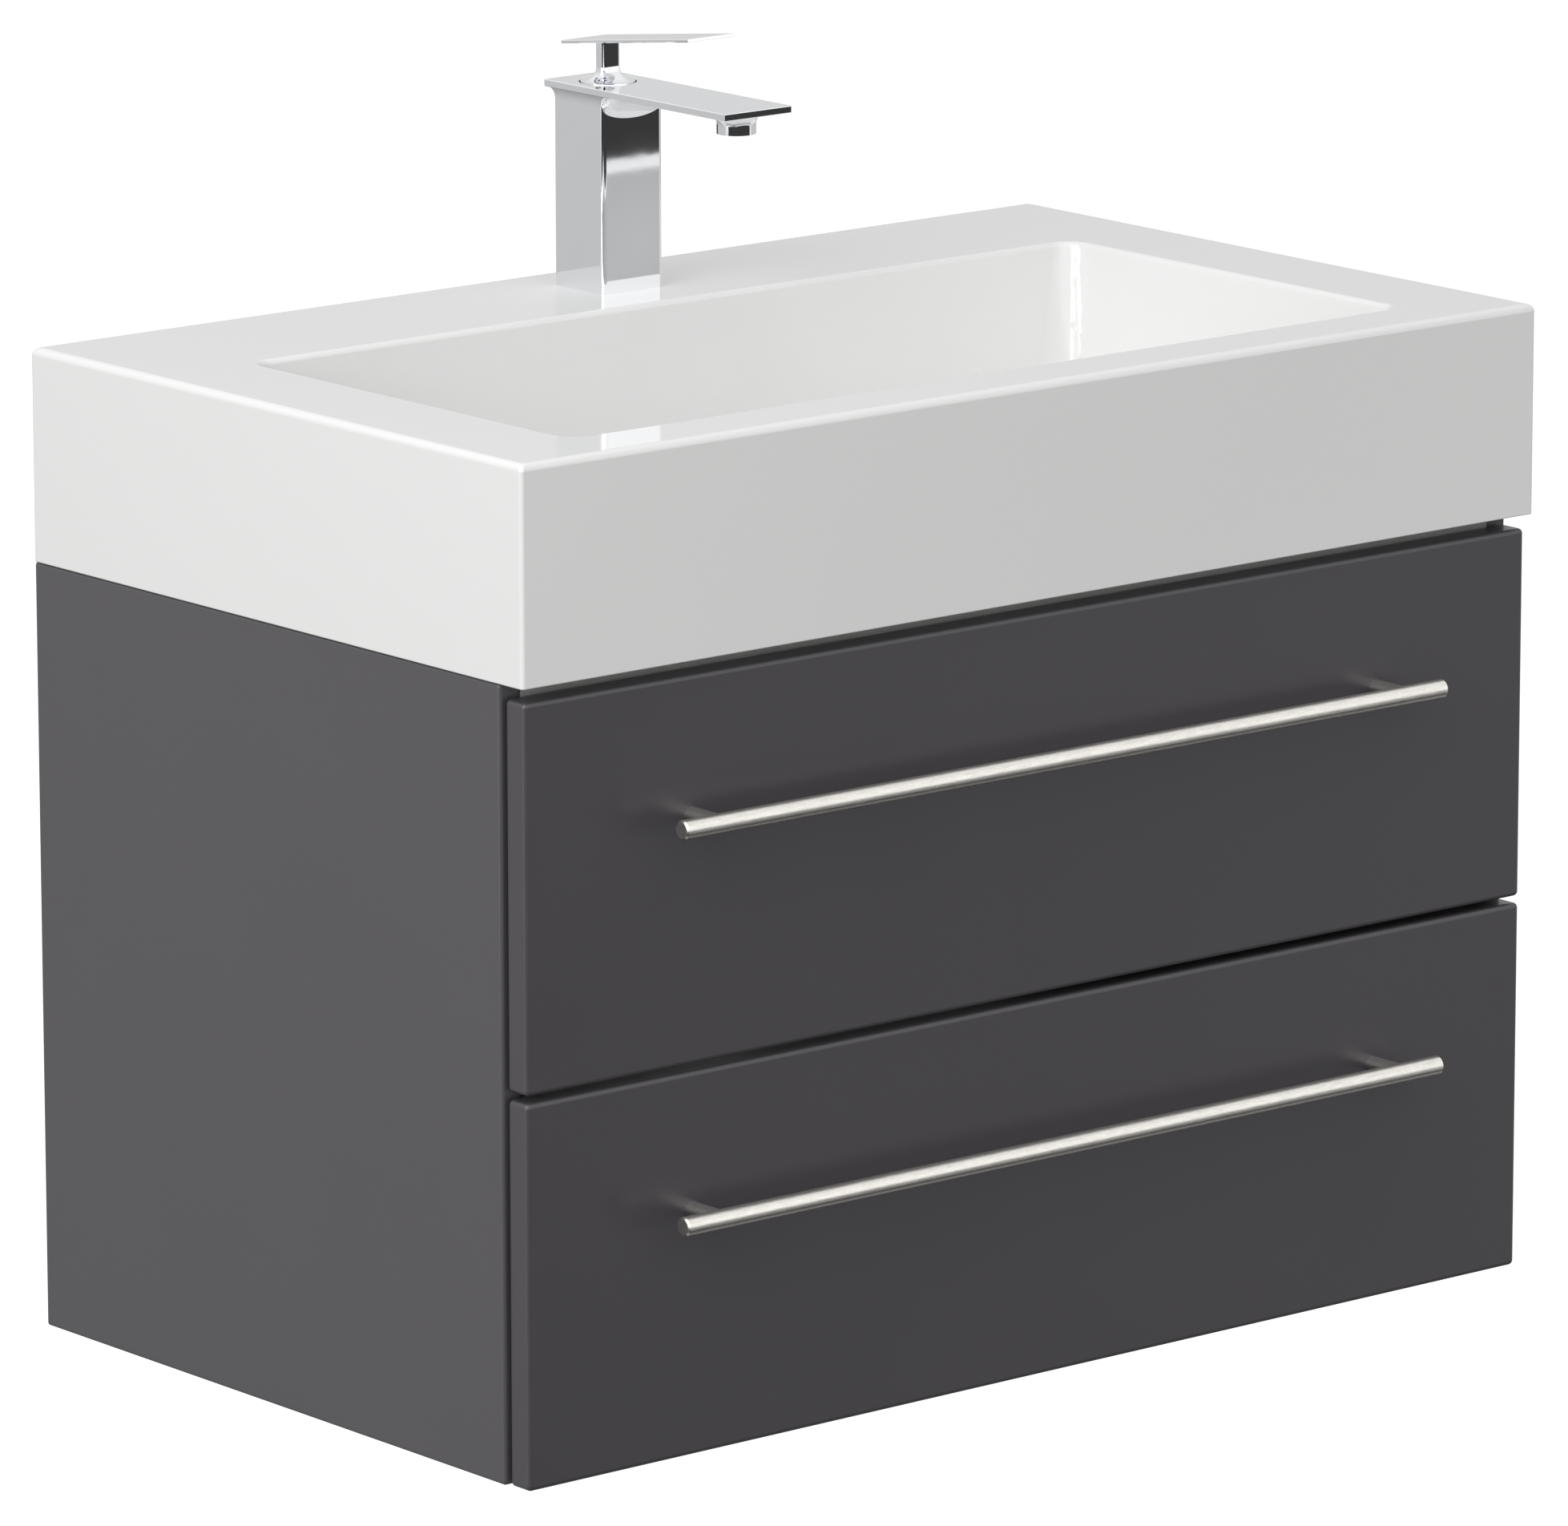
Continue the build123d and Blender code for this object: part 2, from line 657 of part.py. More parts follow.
with BuildPart() as tap_body:
    neck_low_z = spout_under_z - neck_height
    with BuildSketch(Plane.XY.offset(deck_z)):
        with Locations((0, tap_y)):
            RectangleRounded(column_width, column_depth, column_corner)
    extrude(amount=neck_low_z - deck_z)
    # The column flares into the spout plate in a hollow curve, steeper at the sides.
    side_flare = (spout_width - column_width) / 2 - spout_corner
    rear_flare = spout_rear - column_depth / 2 - spout_corner
    for step in range(neck_steps + 1):
        turn = math.pi / 2 * step / neck_steps
        share = 1 - math.cos(turn)
        width = column_width + 2 * side_flare * share
        depth = column_depth + (rear_flare + front_flare) * share
        with BuildSketch(Plane.XY.offset(neck_low_z + neck_height * math.sin(turn))):
            with Locations((0, tap_y + (rear_flare - front_flare) * share / 2)):
                RectangleRounded(width, depth, column_corner)
    loft()
    with BuildSketch(Plane.XY.offset(spout_under_z)):
        with Locations((0, tap_y + (spout_rear - spout_front) / 2)):
            RectangleRounded(spout_width, spout_rear + spout_front, spout_corner)
    extrude(amount=spout_plate)
    undersides = tap_body.faces().filter_by_position(Axis.Z, spout_under_z, spout_under_z)
    plate_faces = (tap_body.faces().sort_by(Axis.Z)[-1], undersides.sort_by(SortBy.AREA)[-1])
    chamfer([edge for face in plate_faces for edge in face.outer_wire().edges()], spout_edge)
    with BuildSketch(Plane.XZ.offset(-aerator_y)):
        with BuildLine():
            collar_z = spout_under_z - aerator_fillet
            Polyline((0, spout_under_z), (0, aerator_low_z), (aerator_radius, aerator_low_z),
                     (aerator_radius, collar_z))
            RadiusArc((aerator_radius, collar_z), (aerator_radius + aerator_fillet, spout_under_z),
                      aerator_fillet)
            Line((aerator_radius + aerator_fillet, spout_under_z), (0, spout_under_z))
        make_face()
    revolve(axis=Axis((0, aerator_y, 0), (0, 0, 1)))
    bore([(0, aerator_y, aerator_low_z)], insert_radius + fit_slack, insert_height + insert_inset, "z")
    with BuildSketch(Plane.XY.offset(cartridge_floor_z)):
        with Locations((0, tap_y)):
            Circle(cavity_radius)
    extrude(amount=spout_top_z - cartridge_floor_z, mode=Mode.SUBTRACT)
    with BuildSketch(Plane.XZ.offset(-tap_y)):
        with BuildLine():
            Polyline(
                (cavity_radius, spout_top_z - ring_dish_depth),
                (cavity_radius + ring_dish, spout_top_z),
                (cavity_radius, spout_top_z),
                close=True,
            )
        make_face()
    revolve(axis=Axis((0, tap_y, 0), (0, 0, 1)), mode=Mode.SUBTRACT)
    with BuildSketch(Plane.XY.offset(deck_z)):
        with Locations((0, tap_y)):
            Circle(gasket_outer)
            Circle(gasket_inner, mode=Mode.SUBTRACT)
    extrude(amount=tap_gasket_sheet, mode=Mode.SUBTRACT)
    bore([(0, stud_y, deck_z)], stud_radius + fit_slack, stud_bite, "z")
    bore([(x, y, deck_z) for x, y in inlets], inlet_radius, inlet_depth, "z")
    bore([(x, y, deck_z) for x, y in inlets], water_bore, cartridge_floor_z - deck_z, "z")
save(tap_body, "tap_body")

ring("tap_gasket", tap_y, (deck_z, deck_z + tap_gasket_sheet), gasket_inner, gasket_outer)
deck_under_z = deck_z - deck_thickness
washer_low_z = deck_under_z - tap_washer_sheet

with BuildPart() as tap_stud:
    with BuildSketch(Plane.XY.offset(deck_under_z - stud_tail)):
        with Locations((0, stud_y)):
            Circle(stud_radius)
    extrude(amount=deck_thickness + stud_tail + stud_bite - fit_slack)
save(tap_stud, "tap_stud")

# The half-moon washer leaves the front of the hole free for the hoses.
with BuildPart() as tap_washer:
    with BuildSketch(Plane.XY.offset(washer_low_z)):
        with Locations((0, tap_y)):
            Circle(tap_washer_radius)
        with Locations((0, tap_y - tap_washer_radius + inlet_radius / 2)):
            Rectangle(2 * tap_washer_radius, 2 * tap_washer_radius, mode=Mode.SUBTRACT)
        with Locations((0, stud_y)):
            Circle(stud_radius + fit_slack, mode=Mode.SUBTRACT)
    extrude(amount=tap_washer_sheet)
save(tap_washer, "tap_washer")

tap_nut_z = (washer_low_z - tap_nut_height, washer_low_z)
hex_nut("tap_nut", stud_y, tap_nut_z, stud_radius + fit_slack, tap_nut_flats)

with BuildPart() as aerator:
    with BuildSketch(Plane.XY.offset(aerator_low_z + insert_inset)):
        with Locations((0, aerator_y)):
            Circle(insert_radius)
            Circle(insert_hole, mode=Mode.SUBTRACT)
            with PolarLocations(insert_inner_ring, insert_inner_count):
                Circle(insert_hole, mode=Mode.SUBTRACT)
            with PolarLocations(insert_outer_ring, insert_outer_count):
                Circle(insert_hole, mode=Mode.SUBTRACT)
    extrude(amount=insert_height)
save(aerator, "aerator")

with BuildPart() as cartridge:
    with BuildSketch(Plane.XY.offset(cartridge_floor_z)):
        with Locations((0, tap_y)):
            Circle(cartridge_radius)
    extrude(amount=cartridge_height)
    bore([(0, tap_y, cartridge_top_z)], rotor_radius + rotor_slack, rotor_seat, "z")
save(cartridge, "cartridge")

nut_z = (cartridge_top_z, cartridge_nut_z)
ring("cartridge_nut", tap_y, nut_z, cartridge_nut_bore, cavity_radius - fit_slack)

# The rotor turns in the cartridge and carries the lever on its tongue.
with BuildPart() as cartridge_rotor:
    rotor_low_z = cartridge_top_z - rotor_seat + rotor_slack
    with BuildSketch(Plane.XY.offset(rotor_low_z)):
        with Locations((0, tap_y)):
            Circle(rotor_radius)
    extrude(amount=cartridge_nut_z - rotor_slack - rotor_low_z)
    with BuildSketch(Plane.YZ.offset(-tongue_width / 2)):
        with Locations((tap_y, pivot_z)):
            Circle(tongue_radius)
        with Locations((tap_y, (pivot_z + rotor_low_z) / 2)):
            Rectangle(2 * tongue_radius, pivot_z - rotor_low_z)
    extrude(amount=tongue_width)
    bore([(0, tap_y, pivot_z)], pin_radius + pin_slack, tongue_width, "x")
save(cartridge_rotor, "cartridge_rotor")

# Lever: ball foot, bell-shaped flare, stem and sloping plate
lever_top_z = spout_top_z + lever_rise
slope = math.radians(lever_slope)
ring_size = 2 * (ring_radius - ring_ledge)

with BuildPart() as lever:
    with BuildSketch(Plane.XZ.offset(-tap_y)):
        with BuildLine():
            dome_low_z = pivot_z - dome_depth
            Polyline((ring_radius, spout_top_z), (0, spout_top_z), (0, dome_low_z), (dome_rim, dome_low_z))
            ThreePointArc((dome_rim, dome_low_z), (dome_sphere, pivot_z), (ring_radius, spout_top_z))
        make_face()
    revolve(axis=Axis((0, tap_y, 0), (0, 0, 1)))
    for step in range(flare_steps + 1):
        turn = math.pi / 2 * step / flare_steps
        share = math.sin(turn)
        width = ring_size + (stem_width - ring_size) * share
        depth = ring_size + (stem_depth - ring_size) * share
        corner = ring_corner + (stem_corner - ring_corner) * share
        with BuildSketch(Plane.XY.offset(spout_top_z + flare_height * (1 - math.cos(turn)))):
            with Locations((0, tap_y)):
                RectangleRounded(width, depth, corner)
    loft()
    with BuildSketch(Plane.XY.offset(spout_top_z + flare_height)):
        with Locations((0, tap_y)):
            RectangleRounded(stem_width, stem_depth, stem_corner)
    extrude(amount=lever_rise - flare_height - lever_plate / 2)
    plate_plane = Plane((0, tap_y, lever_top_z), x_dir=(1, 0, 0), z_dir=(0, math.sin(slope), math.cos(slope)))
    with BuildSketch(plate_plane.offset(-lever_plate)):
        with Locations((0, (lever_rear - lever_front) / 2 / math.cos(slope))):
            RectangleRounded(lever_width, (lever_rear + lever_front) / math.cos(slope), lever_corner)
    extrude(amount=lever_plate)
    plate_faces = lever.faces().sort_by(SortBy.AREA)[-2:]
    chamfer([edge for face in plate_faces for edge in face.outer_wire().edges()], lever_edge)
    # The slot round the tongue widens downwards by the lever's swing.
    half_slot = (tongue_radius + tongue_slack) / math.cos(swing)
    half_mouth = half_slot + dome_depth * math.tan(swing)
    with BuildSketch(Plane.YZ.offset(-tongue_width / 2 - tongue_slack)):
        with Locations((tap_y, pivot_z)):
            Circle(tongue_radius + tongue_slack)
        with BuildLine():
            Polyline(
                (tap_y - half_slot, pivot_z),
                (tap_y + half_slot, pivot_z),
                (tap_y + half_mouth, dome_low_z),
                (tap_y - half_mouth, dome_low_z),
                close=True,
            )
        make_face()
    extrude(amount=tongue_width + 2 * tongue_slack, mode=Mode.SUBTRACT)
    bore([(0, tap_y, pivot_z)], pin_radius + pin_fit, cavity_radius, "x")
save(lever, "lever")

with BuildPart() as lever_pin:
    with Locations((0, tap_y, pivot_z)):
        Cylinder(pin_radius, pin_length, rotation=(0, 90, 0))
save(lever_pin, "lever_pin")

# Runners: three nested channels on each side of a drawer. Distances across them are
# counted from the side panel's inner face towards the drawer.
drawer_web = runner_space - runner_sheet
drawer_edge = runner_space - drawer_member_flange
middle_edge = middle_offset + middle_flange


def runner_members(levels, web, edge, height):
    """Channels on both sides: the back of the web at one distance, the flanges' edges at another."""
    inward = 1 if edge > web else -1
    with BuildPart() as members:
        for level in levels:
            with BuildSketch(Plane.XZ.offset(-runner_rear_y)) as profile:
                with Locations((inner_half - (web + edge) / 2, runner_z(level))):
                    Rectangle(abs(edge - web), height)
                fillet(profile.vertices().sort_by(Axis.X, reverse=inward > 0)[:2], runner_bend)
                with Locations((inner_half - (web + edge + inward * runner_sheet) / 2, runner_z(level))):
                    Rectangle(abs(edge - web) - runner_sheet, height - 2 * runner_sheet, mode=Mode.SUBTRACT)
            extrude(amount=runner_length)
        mirror(about=Plane.YZ)
    return members


def runner_screws(levels, head_face, head_way):
    """Pan-head screws: the head stands on a web's face, the shank runs the other way."""
    head_mid = head_face + head_way * runner_head_height / 2
    shank = runner_sheet + runner_screw_bite
    shank_mid = head_face - head_way * shank / 2
    with BuildPart() as screws:
        for level in levels:
            with Locations(*runner_screw_points(inner_half - head_mid, level)):
                Cylinder(runner_screw_head, runner_head_height, rotation=(0, 90, 0))
            with Locations(*runner_screw_points(inner_half - shank_mid, level)):
                Cylinder(runner_screw_radius, shank, rotation=(0, 90, 0))
        mirror(about=Plane.YZ)
    return screws


def drill_webs(levels, web):
    """Drills the screw holes of the channels whose webs lie at one distance."""
    for level in levels:
        for side in SIDES:
            points = runner_screw_points(side * (inner_half - web), level)
            bore(points, runner_screw_radius + fit_slack, runner_sheet, "x")


LEVELS = {"upper": 0, "lower": 1}
both_levels = tuple(LEVELS.values())
cabinet_members = runner_members(both_levels, 0, runner_flange, runner_height)
with BuildPart() as runner_cabinet_members:
    add(cabinet_members.part)
    drill_webs(both_levels, runner_sheet / 2)
save(runner_cabinet_members, "runner_cabinet_members")
save(runner_screws(both_levels, runner_sheet, 1), "runner_cabinet_screws")

# Glide strips ride on the middle member: outside at its rear, inside at its front.
middle_half = middle_height / 2
outer_strip = (middle_half, runner_height / 2 - runner_sheet - glide_slack)
inner_strip = (drawer_member_height / 2 + glide_slack, middle_half - runner_sheet)
rear_glide_y = (runner_rear_y - glide_length, runner_rear_y)
front_glide_y = (runner_front_y, runner_front_y + glide_length)
glide_outer_x = inner_half - middle_offset - runner_sheet - glide_margin
glide_x = (glide_outer_x, inner_half - runner_flange + glide_margin)


def glides(level):
    """Eight plastic strips that fill the gaps between a drawer's nested channels."""
    z = runner_z(level)
    with BuildPart() as strips:
        for y_range, (low, high) in ((rear_glide_y, outer_strip), (front_glide_y, inner_strip)):
            block(glide_x, y_range, (z + low, z + high))
            block(glide_x, y_range, (z - high, z - low))
        mirror(about=Plane.YZ)
    return strips


# Drawers: a box behind each front, and a round bar on two posts as its handle
front_half = front_width / 2
post_xs = (-handle_spacing / 2, handle_spacing / 2)
bar_y = front_face_y - handle_reach
cutout_length = box_rear_y - drain_y + cutout_lead


def box_levels(level):
    """Lower edge of a box, top of its bottom panel and upper edge of the box."""
    top_z = front_top_z(level) - box_drop
    low_z = top_z - box_height
    return low_z, low_z + bottom_rise + bottom_board, top_z


def drawer_front(level):
    """A front board, rounded all round, drilled for the handle's screws."""
    top_z = front_top_z(level)
    with BuildPart() as front:
        block((-front_half, front_half), (front_face_y, front_back_y), (top_z - front_height, top_z))
        fillet(front.edges().filter_by(Axis.Y), front_corner)
        fillet(front.faces().sort_by(Axis.Y)[0].edges(), front_round)
        fillet(front.faces().sort_by(Axis.Y)[-1].edges(), front_back_round)
        points = [(x, front_face_y, top_z - handle_drop) for x in post_xs]
        bore(points, handle_screw_radius + fit_slack, front_board, "y")
    return front


def drawer_side(level, side):
    """A box side with a groove for the bottom panel and holes for the runner's screws."""
    low_z, panel_top_z, top_z = box_levels(level)
    outer_x, inner_x = side * box_half, side * (box_half - box_board)
    with BuildPart() as board_side:
        block((inner_x, outer_x), (front_back_y, box_rear_y), (low_z, top_z))
        fillet(board_side.faces().sort_by(Axis.Z)[-1].edges().filter_by(Axis.Y), edge_round)
        groove_x = (inner_x, inner_x + side * groove_depth)
        groove_z = (panel_top_z - bottom_board, panel_top_z)
        block(groove_x, (front_back_y, box_rear_y), groove_z, mode=Mode.SUBTRACT)
        bore(runner_screw_points(outer_x, level), runner_screw_radius + fit_slack, runner_screw_bite, "x")
    return board_side


def drawer_bottom(level, cutout):
    """A bottom panel held in the grooves; the upper one is cut out round the siphon."""
    panel_top_z = box_levels(level)[1]
    half = box_half - box_board + groove_depth - fit_slack
    with BuildPart() as panel:
        with BuildSketch(Plane.XY.offset(panel_top_z - bottom_board)):
            with Locations((0, (front_back_y + box_rear_y) / 2)):
                Rectangle(2 * half, box_length)
            if cutout:
                with Locations((0, box_rear_y)):
                    RectangleRounded(cutout_width, 2 * cutout_length, cutout_corner, mode=Mode.SUBTRACT)
        extrude(amount=bottom_board)
    return panel


def drawer_back(level, x_range):
    """A box back, standing on the bottom panel between two limits."""
    panel_top_z, top_z = box_levels(level)[1:]
    with BuildPart() as back:
        block(x_range, (box_rear_y - box_board, box_rear_y), (panel_top_z, top_z))
        fillet(back.faces().sort_by(Axis.Z)[-1].edges().filter_by(Axis.X), edge_round)
    return back


def bumpers(level):
    """Pads on the back of a front, over the front edges of the side panels."""
    top_z = front_top_z(level)
    thickness = bumper_gap - bumper_slack
    heights = (top_z - bumper_inset, top_z - front_height + bumper_inset)
    pad_x = inner_half + bumper_radius
    pad_y = front_back_y + thickness / 2
    with BuildPart() as pads:
        with Locations(*((side * pad_x, pad_y, z) for side in SIDES for z in heights)):
            Cylinder(bumper_radius, thickness, rotation=(90, 0, 0))
    return pads


def handle_bar(level):
    """The round bar of a handle, with its ends chamfered."""
    with BuildPart() as bar:
        with Locations((0, bar_y, front_top_z(level) - handle_drop)):
            Cylinder(handle_radius, handle_length, rotation=(0, 90, 0))
        chamfer(bar.edges().filter_by(GeomType.CIRCLE), handle_chamfer)
    return bar


def handle_posts(level):
    """The two posts of a handle, coped to the bar and drilled for the screws."""
    z = front_top_z(level) - handle_drop
    with BuildPart() as posts:
        for x in post_xs:
            with Locations((x, (bar_y + front_face_y) / 2, z)):
                Cylinder(post_radius, handle_reach, rotation=(90, 0, 0))
        with Locations((0, bar_y, z)):
            Cylinder(handle_radius + coping_slack, handle_length, rotation=(0, 90, 0), mode=Mode.SUBTRACT)
        bore([(x, front_face_y, z) for x in post_xs], handle_screw_radius + fit_slack, handle_screw_bite, "y")
    return posts


def handle_screws(level):
    """The screws that hold the posts from inside the drawer."""
    z = front_top_z(level) - handle_drop
    shank = front_board + handle_screw_bite - fit_slack
    with BuildPart() as screws:
        for x in post_xs:
            with Locations((x, front_back_y + handle_head_height / 2, z)):
                Cylinder(handle_screw_head, handle_head_height, rotation=(90, 0, 0))
            with Locations((x, front_back_y - shank / 2, z)):
                Cylinder(handle_screw_radius, shank, rotation=(90, 0, 0))
    return screws


for word, level in LEVELS.items():
    save(runner_members((level,), middle_offset, middle_edge, middle_height), f"{word}_runner_middle")
    save(glides(level), f"{word}_runner_glides")
    save(drawer_front(level), f"{word}_front")
    save(drawer_side(level, LEFT), f"{word}_side_left")
    save(drawer_side(level, RIGHT), f"{word}_side_right")
    save(drawer_bottom(level, cutout=level == LEVELS["upper"]), f"{word}_bottom")
    save(bumpers(level), f"{word}_bumpers")
    save(handle_bar(level), f"{word}_handle_bar")
    save(handle_posts(level), f"{word}_handle_posts")
    save(handle_screws(level), f"{word}_handle_screws")
    drawer_members = runner_members((level,), runner_space, drawer_edge, drawer_member_height)
    with BuildPart() as drilled_members:
        add(drawer_members.part)
        drill_webs((level,), runner_space - runner_sheet / 2)
    save(drilled_members, f"{word}_runner_drawer_members")
    save(runner_screws((level,), drawer_web, -1), f"{word}_runner_screws")

back_half = box_half - box_board
save(drawer_back(LEVELS["lower"], (-back_half, back_half)), "lower_back")
guard_half = cutout_width / 2 + guard_wall
save(drawer_back(LEVELS["upper"], (-back_half, -guard_half)), "upper_back_left")
save(drawer_back(LEVELS["upper"], (guard_half, back_half)), "upper_back_right")

# The guard is one bent wall that follows the edge of the siphon cut-out.
with BuildPart() as upper_guard:
    with BuildSketch(Plane.XY.offset(box_levels(LEVELS["upper"])[1])):
        with Locations((0, box_rear_y)):
            RectangleRounded(2 * guard_half, 2 * (cutout_length + guard_wall), cutout_corner + guard_wall)
            RectangleRounded(cutout_width, 2 * cutout_length, cutout_corner, mode=Mode.SUBTRACT)
        with Locations((0, box_rear_y + cutout_length)):
            Rectangle(4 * guard_half, 2 * cutout_length, mode=Mode.SUBTRACT)
    extrude(amount=guard_height)
save(upper_guard, "upper_guard")
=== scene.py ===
"""Dresses a wall-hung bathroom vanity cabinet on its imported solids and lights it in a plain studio."""
import logging
import math
from dataclasses import dataclass
from enum import Enum
from typing import Callable, Sequence, Union

import bpy
from mathutils import Matrix, Vector


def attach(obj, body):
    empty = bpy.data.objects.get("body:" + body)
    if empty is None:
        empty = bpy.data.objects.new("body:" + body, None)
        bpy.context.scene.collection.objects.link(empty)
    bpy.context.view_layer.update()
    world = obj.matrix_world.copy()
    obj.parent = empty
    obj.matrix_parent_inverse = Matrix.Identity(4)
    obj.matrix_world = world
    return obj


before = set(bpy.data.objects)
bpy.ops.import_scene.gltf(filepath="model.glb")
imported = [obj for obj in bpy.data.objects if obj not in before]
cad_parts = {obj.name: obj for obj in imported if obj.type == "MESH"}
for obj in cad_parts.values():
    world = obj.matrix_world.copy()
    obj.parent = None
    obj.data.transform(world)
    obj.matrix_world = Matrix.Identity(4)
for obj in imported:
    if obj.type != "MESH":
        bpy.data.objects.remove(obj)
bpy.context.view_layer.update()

LOG = logging.getLogger("vanity")

Socket = bpy.types.NodeSocket
Value = Union[float, Sequence[float], Socket]
Pair = tuple[float, float]
Triple = tuple[float, float, float]
Stops = tuple[Pair, ...]


class Bench:
    """A node tree in the making: adds nodes and wires their sockets."""

    def __init__(self, tree: bpy.types.NodeTree) -> None:
        """Keeps the tree that the nodes go into."""
        self.tree = tree

    def add(self, kind: str, **settings: object) -> bpy.types.Node:
        """Adds one node.

        Args:
            kind: the node's type name.
            settings: properties that are set on the node itself.

        Returns:
            The new node.
        """
        node = self.tree.nodes.new(kind)
        for key, value in settings.items():
            setattr(node, key, value)
        return node

    def put(self, node: bpy.types.Node, socket: Union[str, int], value: Value) -> None:
        """Gives an input its value, or wires it to an output.

        Args:
            node: the node that owns the input.
            socket: the input's name or number.
            value: a constant, or the output to wire from.
        """
        target = node.inputs[socket]
        if isinstance(value, bpy.types.NodeSocket):
            self.tree.links.new(value, target)
        else:
            target.default_value = value

    def maths(self, operation: str, *values: Value) -> Socket:
        """Adds a math node.

        Args:
            operation: the sum that it does.
            values: its inputs, in order.

        Returns:
            Its result.
        """
        node = self.add("ShaderNodeMath", operation=operation)
        for index, value in enumerate(values):
            self.put(node, index, value)
        return node.outputs[0]

    def spread(self, value: Socket, low: Value, high: Value) -> Socket:
        """Stretches a value from 0 and 1 to two limits.

        Args:
            value: what is stretched.
            low: the result at 0.
            high: the result at 1.

        Returns:
            The stretched value.
        """
        node = self.add("ShaderNodeMapRange", clamp=True)
        self.put(node, "Value", value)
        self.put(node, "To Min", low)
        self.put(node, "To Max", high)
        return node.outputs["Result"]

    def ramp(self, value: Socket, stops: Stops) -> Socket:
        """Shapes a value by a grey ramp.

        Args:
            value: the place on the ramp.
            stops: pairs of place and brightness, in order.

        Returns:
            The ramp's brightness at that place.
        """
        node = self.add("ShaderNodeValToRGB")
        points = node.color_ramp.elements
        while len(points) < len(stops):
            points.new(0.5)
        for point, (place, level) in zip(points, stops):
            point.position = place
            point.color = (level, level, level, 1.0)
        self.put(node, "Fac", value)
        return node.outputs["Color"]

    def along(self, vector: Socket, way: Triple) -> Socket:
        """How far a vector reaches along a fixed way.

        Args:
            vector: the vector that is read.
            way: the way it is measured along.

        Returns:
            Their dot product.
        """
        node = self.add("ShaderNodeVectorMath", operation="DOT_PRODUCT")
        self.put(node, 0, vector)
        self.put(node, 1, way)
        return node.outputs["Value"]

    def noise(self, vector: Socket, scale: Value, detail: float = 3.0, rough: float = 0.55) -> Socket:
        """Adds a noise texture.

        Args:
            vector: the place that it is read at.
            scale: waves per metre of that place.
            detail: how many finer layers it has.
            rough: how strong the finer layers are.

        Returns:
            Its value, from 0 to 1.
        """
        node = self.add("ShaderNodeTexNoise")
        self.put(node, "Vector", vector)
        self.put(node, "Scale", scale)
        self.put(node, "Detail", detail)
        self.put(node, "Roughness", rough)
        return node.outputs[0]

    def tint(self, mask: Socket, first: Value, second: Value) -> Socket:
        """Mixes two colours by a mask.

        Args:
            mask: 0 for the first colour, 1 for the second.
            first: a colour or an output.
            second: a colour or an output.

        Returns:
            The mixed colour.
        """
        node = self.add("ShaderNodeMix", data_type="RGBA")
        self.put(node, 0, mask)
        self.put(node, 6, first)
        self.put(node, 7, second)
        return node.outputs[2]


class Effect(Enum):
    """Surface effects that more than one finish uses."""

    DRIFT = "tone_drift"
    LEVEL = "gloss_drift"
    PEEL = "lacquer_peel"
    BRUSH = "brush_lines"
    SPANGLE = "zinc_spangle"
    THREAD = "cut_thread"
    PEBBLE = "moulded_pebble"
    DUST = "settled_dust"


